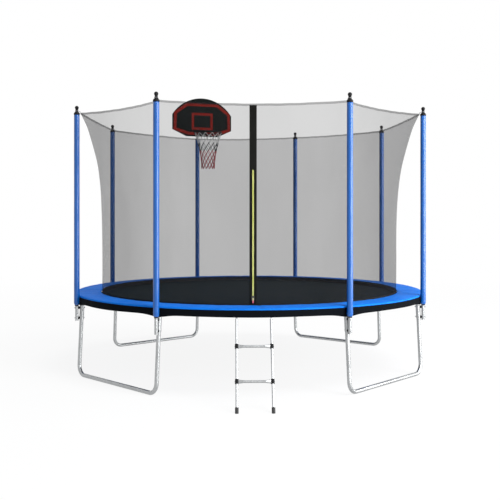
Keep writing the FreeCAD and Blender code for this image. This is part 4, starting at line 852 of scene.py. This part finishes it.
def teeth_boxes():
    """Zip teeth: blocks 2.3 mm high every 5 mm on each side, each reaching over the middle from its own."""
    over, reach, rise, pitch = 0.0016, 0.0068, 0.00115, 0.005
    level = np.arange(zip_low + 0.0015, zip_high, pitch / 2)
    side = np.where(np.arange(len(level)) % 2, 1.0, -1.0)
    corner = np.array([(x, y, z) for x in (-over, reach) for y in (0.0, 1.0) for z in (-rise, rise)])
    x = corner[None, :, 0] * side[:, None]
    bevel = 0.0006 * (corner[None, :, 0] > 0) * corner[None, :, 1]
    out = np.where(corner[None, :, 1] > 0, 0.0044, 0.0018) - bevel
    points = door_points(x, level[:, None] + corner[None, :, 2], out)
    faces = np.array([(0, 1, 3, 2), (4, 6, 7, 5), (0, 4, 5, 1), (2, 3, 7, 6), (0, 2, 6, 4), (1, 5, 7, 3)])
    all_faces = (faces[None] + (np.arange(len(level)) * 8)[:, None, None]).reshape(-1, 4)
    return points.reshape(-1, 3), all_faces


teeth = put_mesh("zip_teeth_row", *teeth_boxes(), closed=True, smooth=False)
dress(teeth, teeth_plastic, None)
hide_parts("zip_teeth")
cord_height = np.linspace(zip_low, zip_high, 60)
cord_paths = np.stack([door_points(side * 0.0052, cord_height, 0.0028) for side in (-1, 1)])
tooth_cords = many_grids("zip_tooth_cords", tube(cord_paths, 0.0012, 6, (1, 0, 0)))
dress(tooth_cords, teeth_plastic, None)

for piece in (net, foot_band, band, teeth, tooth_cords):
    blend_by(piece, net_share)


# Hoop
def board_points(across, height, outward):
    """Points before the board's front face: across it, up it and out from it towards the mat."""
    flat = np.stack(np.broadcast_arrays(board_front - outward, across, height), -1)
    return turn_to(flat, [hoop_bearing])[0]


def line_loop(corners, width, low, high):
    """Painted line of even width round a closed outline: inner and outer corners, raised by a thin coat."""
    corners = np.asarray(corners, float)
    before = corners - np.roll(corners, 1, 0)
    after = np.roll(corners, -1, 0) - corners
    before /= np.linalg.norm(before, axis=1, keepdims=True)
    after /= np.linalg.norm(after, axis=1, keepdims=True)
    normal = np.stack([before[:, 1] + after[:, 1], -before[:, 0] - after[:, 0]], 1)
    normal /= (1 + (before * after).sum(1))[:, None]
    outer = corners + normal * width / 2
    inner = corners - normal * width / 2
    section = [(outer, low), (outer, high), (inner, high), (inner, low)]
    return np.stack([board_points(edge[:, 0], edge[:, 1], height) for edge, height in section], 1)


border = [(-0.200, 0.403), (-0.355, 0.292), (-0.362, 0.090), (-0.180, 0.036), (0.180, 0.036), (0.362, 0.090),
          (0.355, 0.292), (0.200, 0.403)]
target = [(-0.125, 0.100), (0.125, 0.100), (0.125, 0.285), (-0.125, 0.285)]
for name, outline, width in (("board_border_line", border, 0.036), ("board_target_line", target, 0.030)):
    outline = np.asarray(outline) + (0, board_low)
    line = grid_piece(name, line_loop(outline, width, -0.0002, 0.0006), True, True, closed=True, smooth=False)
    dress(line, board_red)


def hoop_net_paths():
    """Knotted net: 24 cords, half of them stepping half a mesh to the left on each row and half to the right.

    The radius shrinks from the rim to the lower end with the power 1.8 of what is left of the height, and the
    cords touch where they cross. Returns the paths and a radius that swells at each knot.
    """
    rows, steps, starts = 5, 8, 12
    down = np.linspace(0, 1, rows * 2 * steps + 1)
    radius = hoop_net_narrow + (hoop_net_wide - hoop_net_narrow) * (1 - down) ** 1.8
    level = hoop_net_top - hoop_net_drop * down
    centre = board_front - rim_reach - rim_radius - 0.008
    knot = np.abs((down * rows * 2 + 0.5) % 1 - 0.5) * 2
    paths = []
    for way in (-1, 1):
        first = np.radians(np.arange(starts) * 360 / starts)[:, None]
        angle = first + way * math.pi / starts * (down * rows * 2)[None, :]
        apart = radius[None, :] - way * 0.0020 * knot[None, :]
        paths.append(np.stack([centre + apart * np.cos(angle), apart * np.sin(angle), level + 0 * angle], -1))
    swell = 0.0034 * (1 + 0.5 * np.exp(-((knot / 0.16) ** 2)))
    return turn_to(np.concatenate(paths), [hoop_bearing])[0], swell


hoop_paths, hoop_swell = hoop_net_paths()
hoop_tubes = tube(hoop_paths, hoop_swell[None, :], 5, (0.01, 0.02, 1))
hoop_net = many_grids("hoop_net_cords", hoop_tubes)
dress(hoop_net, hoop_cord)
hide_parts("hoop_net")


# Light, floor and background
def white_world():
    """Sky: dim and faintly blue as a light, pure white to the camera, in reflections and refractions."""
    world = bpy.data.worlds.new("sky")
    bpy.context.scene.world = world
    world.use_nodes = True
    tree = world.node_tree
    tree.nodes.clear()
    path = tree.nodes.new("ShaderNodeLightPath")
    seen = path.outputs["Is Camera Ray"]
    for ray in ("Is Glossy Ray", "Is Transmission Ray"):
        either = tree.nodes.new("ShaderNodeMath")
        either.operation = "MAXIMUM"
        tree.links.new(seen, either.inputs[0])
        tree.links.new(path.outputs[ray], either.inputs[1])
        seen = either.outputs[0]
    soft = tree.nodes.new("ShaderNodeBackground")
    soft.inputs["Color"].default_value = (0.93, 0.96, 1.0, 1)
    soft.inputs["Strength"].default_value = 0.30
    plain = tree.nodes.new("ShaderNodeBackground")
    plain.inputs["Color"].default_value = (1, 1, 1, 1)
    mix = tree.nodes.new("ShaderNodeMixShader")
    out = tree.nodes.new("ShaderNodeOutputWorld")
    tree.links.new(seen, mix.inputs["Fac"])
    tree.links.new(soft.outputs[0], mix.inputs[1])
    tree.links.new(plain.outputs[0], mix.inputs[2])
    tree.links.new(mix.outputs[0], out.inputs["Surface"])


def pale_floor():
    """Wide pale floor: it takes the shadow, and the camera sees it whiter, more so further out."""
    size = 60.0
    corners = np.array([(-size, -size, 0), (size, -size, 0), (size, size, 0), (-size, size, 0)], float)
    floor = put_mesh("floor", corners - (0, 0, 0.0005), np.array([[0, 1, 2, 3]]))
    finish = Finish("floor_white", 0.9, specular=0.1)
    speckle = finish.noise(finish.place(), 3.0)
    finish.colour(finish.colours(speckle, (0.90, 0.90, 0.90), (0.93, 0.93, 0.93)))
    path = finish.node("ShaderNodeLightPath")
    glow = finish.node("ShaderNodeEmission", {"Color": (1, 1, 1, 1), "Strength": 1.0})
    distance = finish.node("ShaderNodeVectorMath", {0: finish.place()}, operation="LENGTH").outputs["Value"]
    share = finish.remap(distance, 3.0, 12.0, 0.89, 1.0)
    seen = finish.combine(path.outputs["Is Camera Ray"], path.outputs["Is Glossy Ray"], "MAXIMUM")
    share = finish.combine(seen, share)
    mix = finish.node("ShaderNodeMixShader", {"Fac": share})
    finish.tree.links.new(finish.shader.outputs[0], mix.inputs[1])
    finish.tree.links.new(glow.outputs[0], mix.inputs[2])
    finish.tree.links.new(mix.outputs[0], finish.tree.nodes["Material Output"].inputs["Surface"])
    floor.data.materials.append(finish.material)


def lamp(name, kind, place, aim, energy, size):
    """A lamp at a place that looks at aim."""
    data = bpy.data.lights.new(name, kind)
    data.energy = energy
    if kind == "SUN":
        data.angle = size
    else:
        data.shape = "RECTANGLE"
        data.size, data.size_y = size
    made = bpy.data.objects.new(name, data)
    bpy.context.scene.collection.objects.link(made)
    made.location = place
    made.visible_camera = False
    x, y, z = np.subtract(place, aim)
    made.rotation_euler = (math.atan2(math.hypot(x, y), z), 0, math.atan2(y, x) + math.pi / 2)


white_world()
pale_floor()
lamp("key", "SUN", (3.8, -3.2, 9.6), (0, 0, 1), 1.85, math.radians(26))
lamp("side_box", "AREA", (6.7, -7.4, 2.9), (0, 0, 2.9), 930, (4.2, 5.6))
lamp("back_box", "AREA", (9.6, -0.6, 2.9), (0, 0.9, 2.6), 500, (3.6, 5.6))
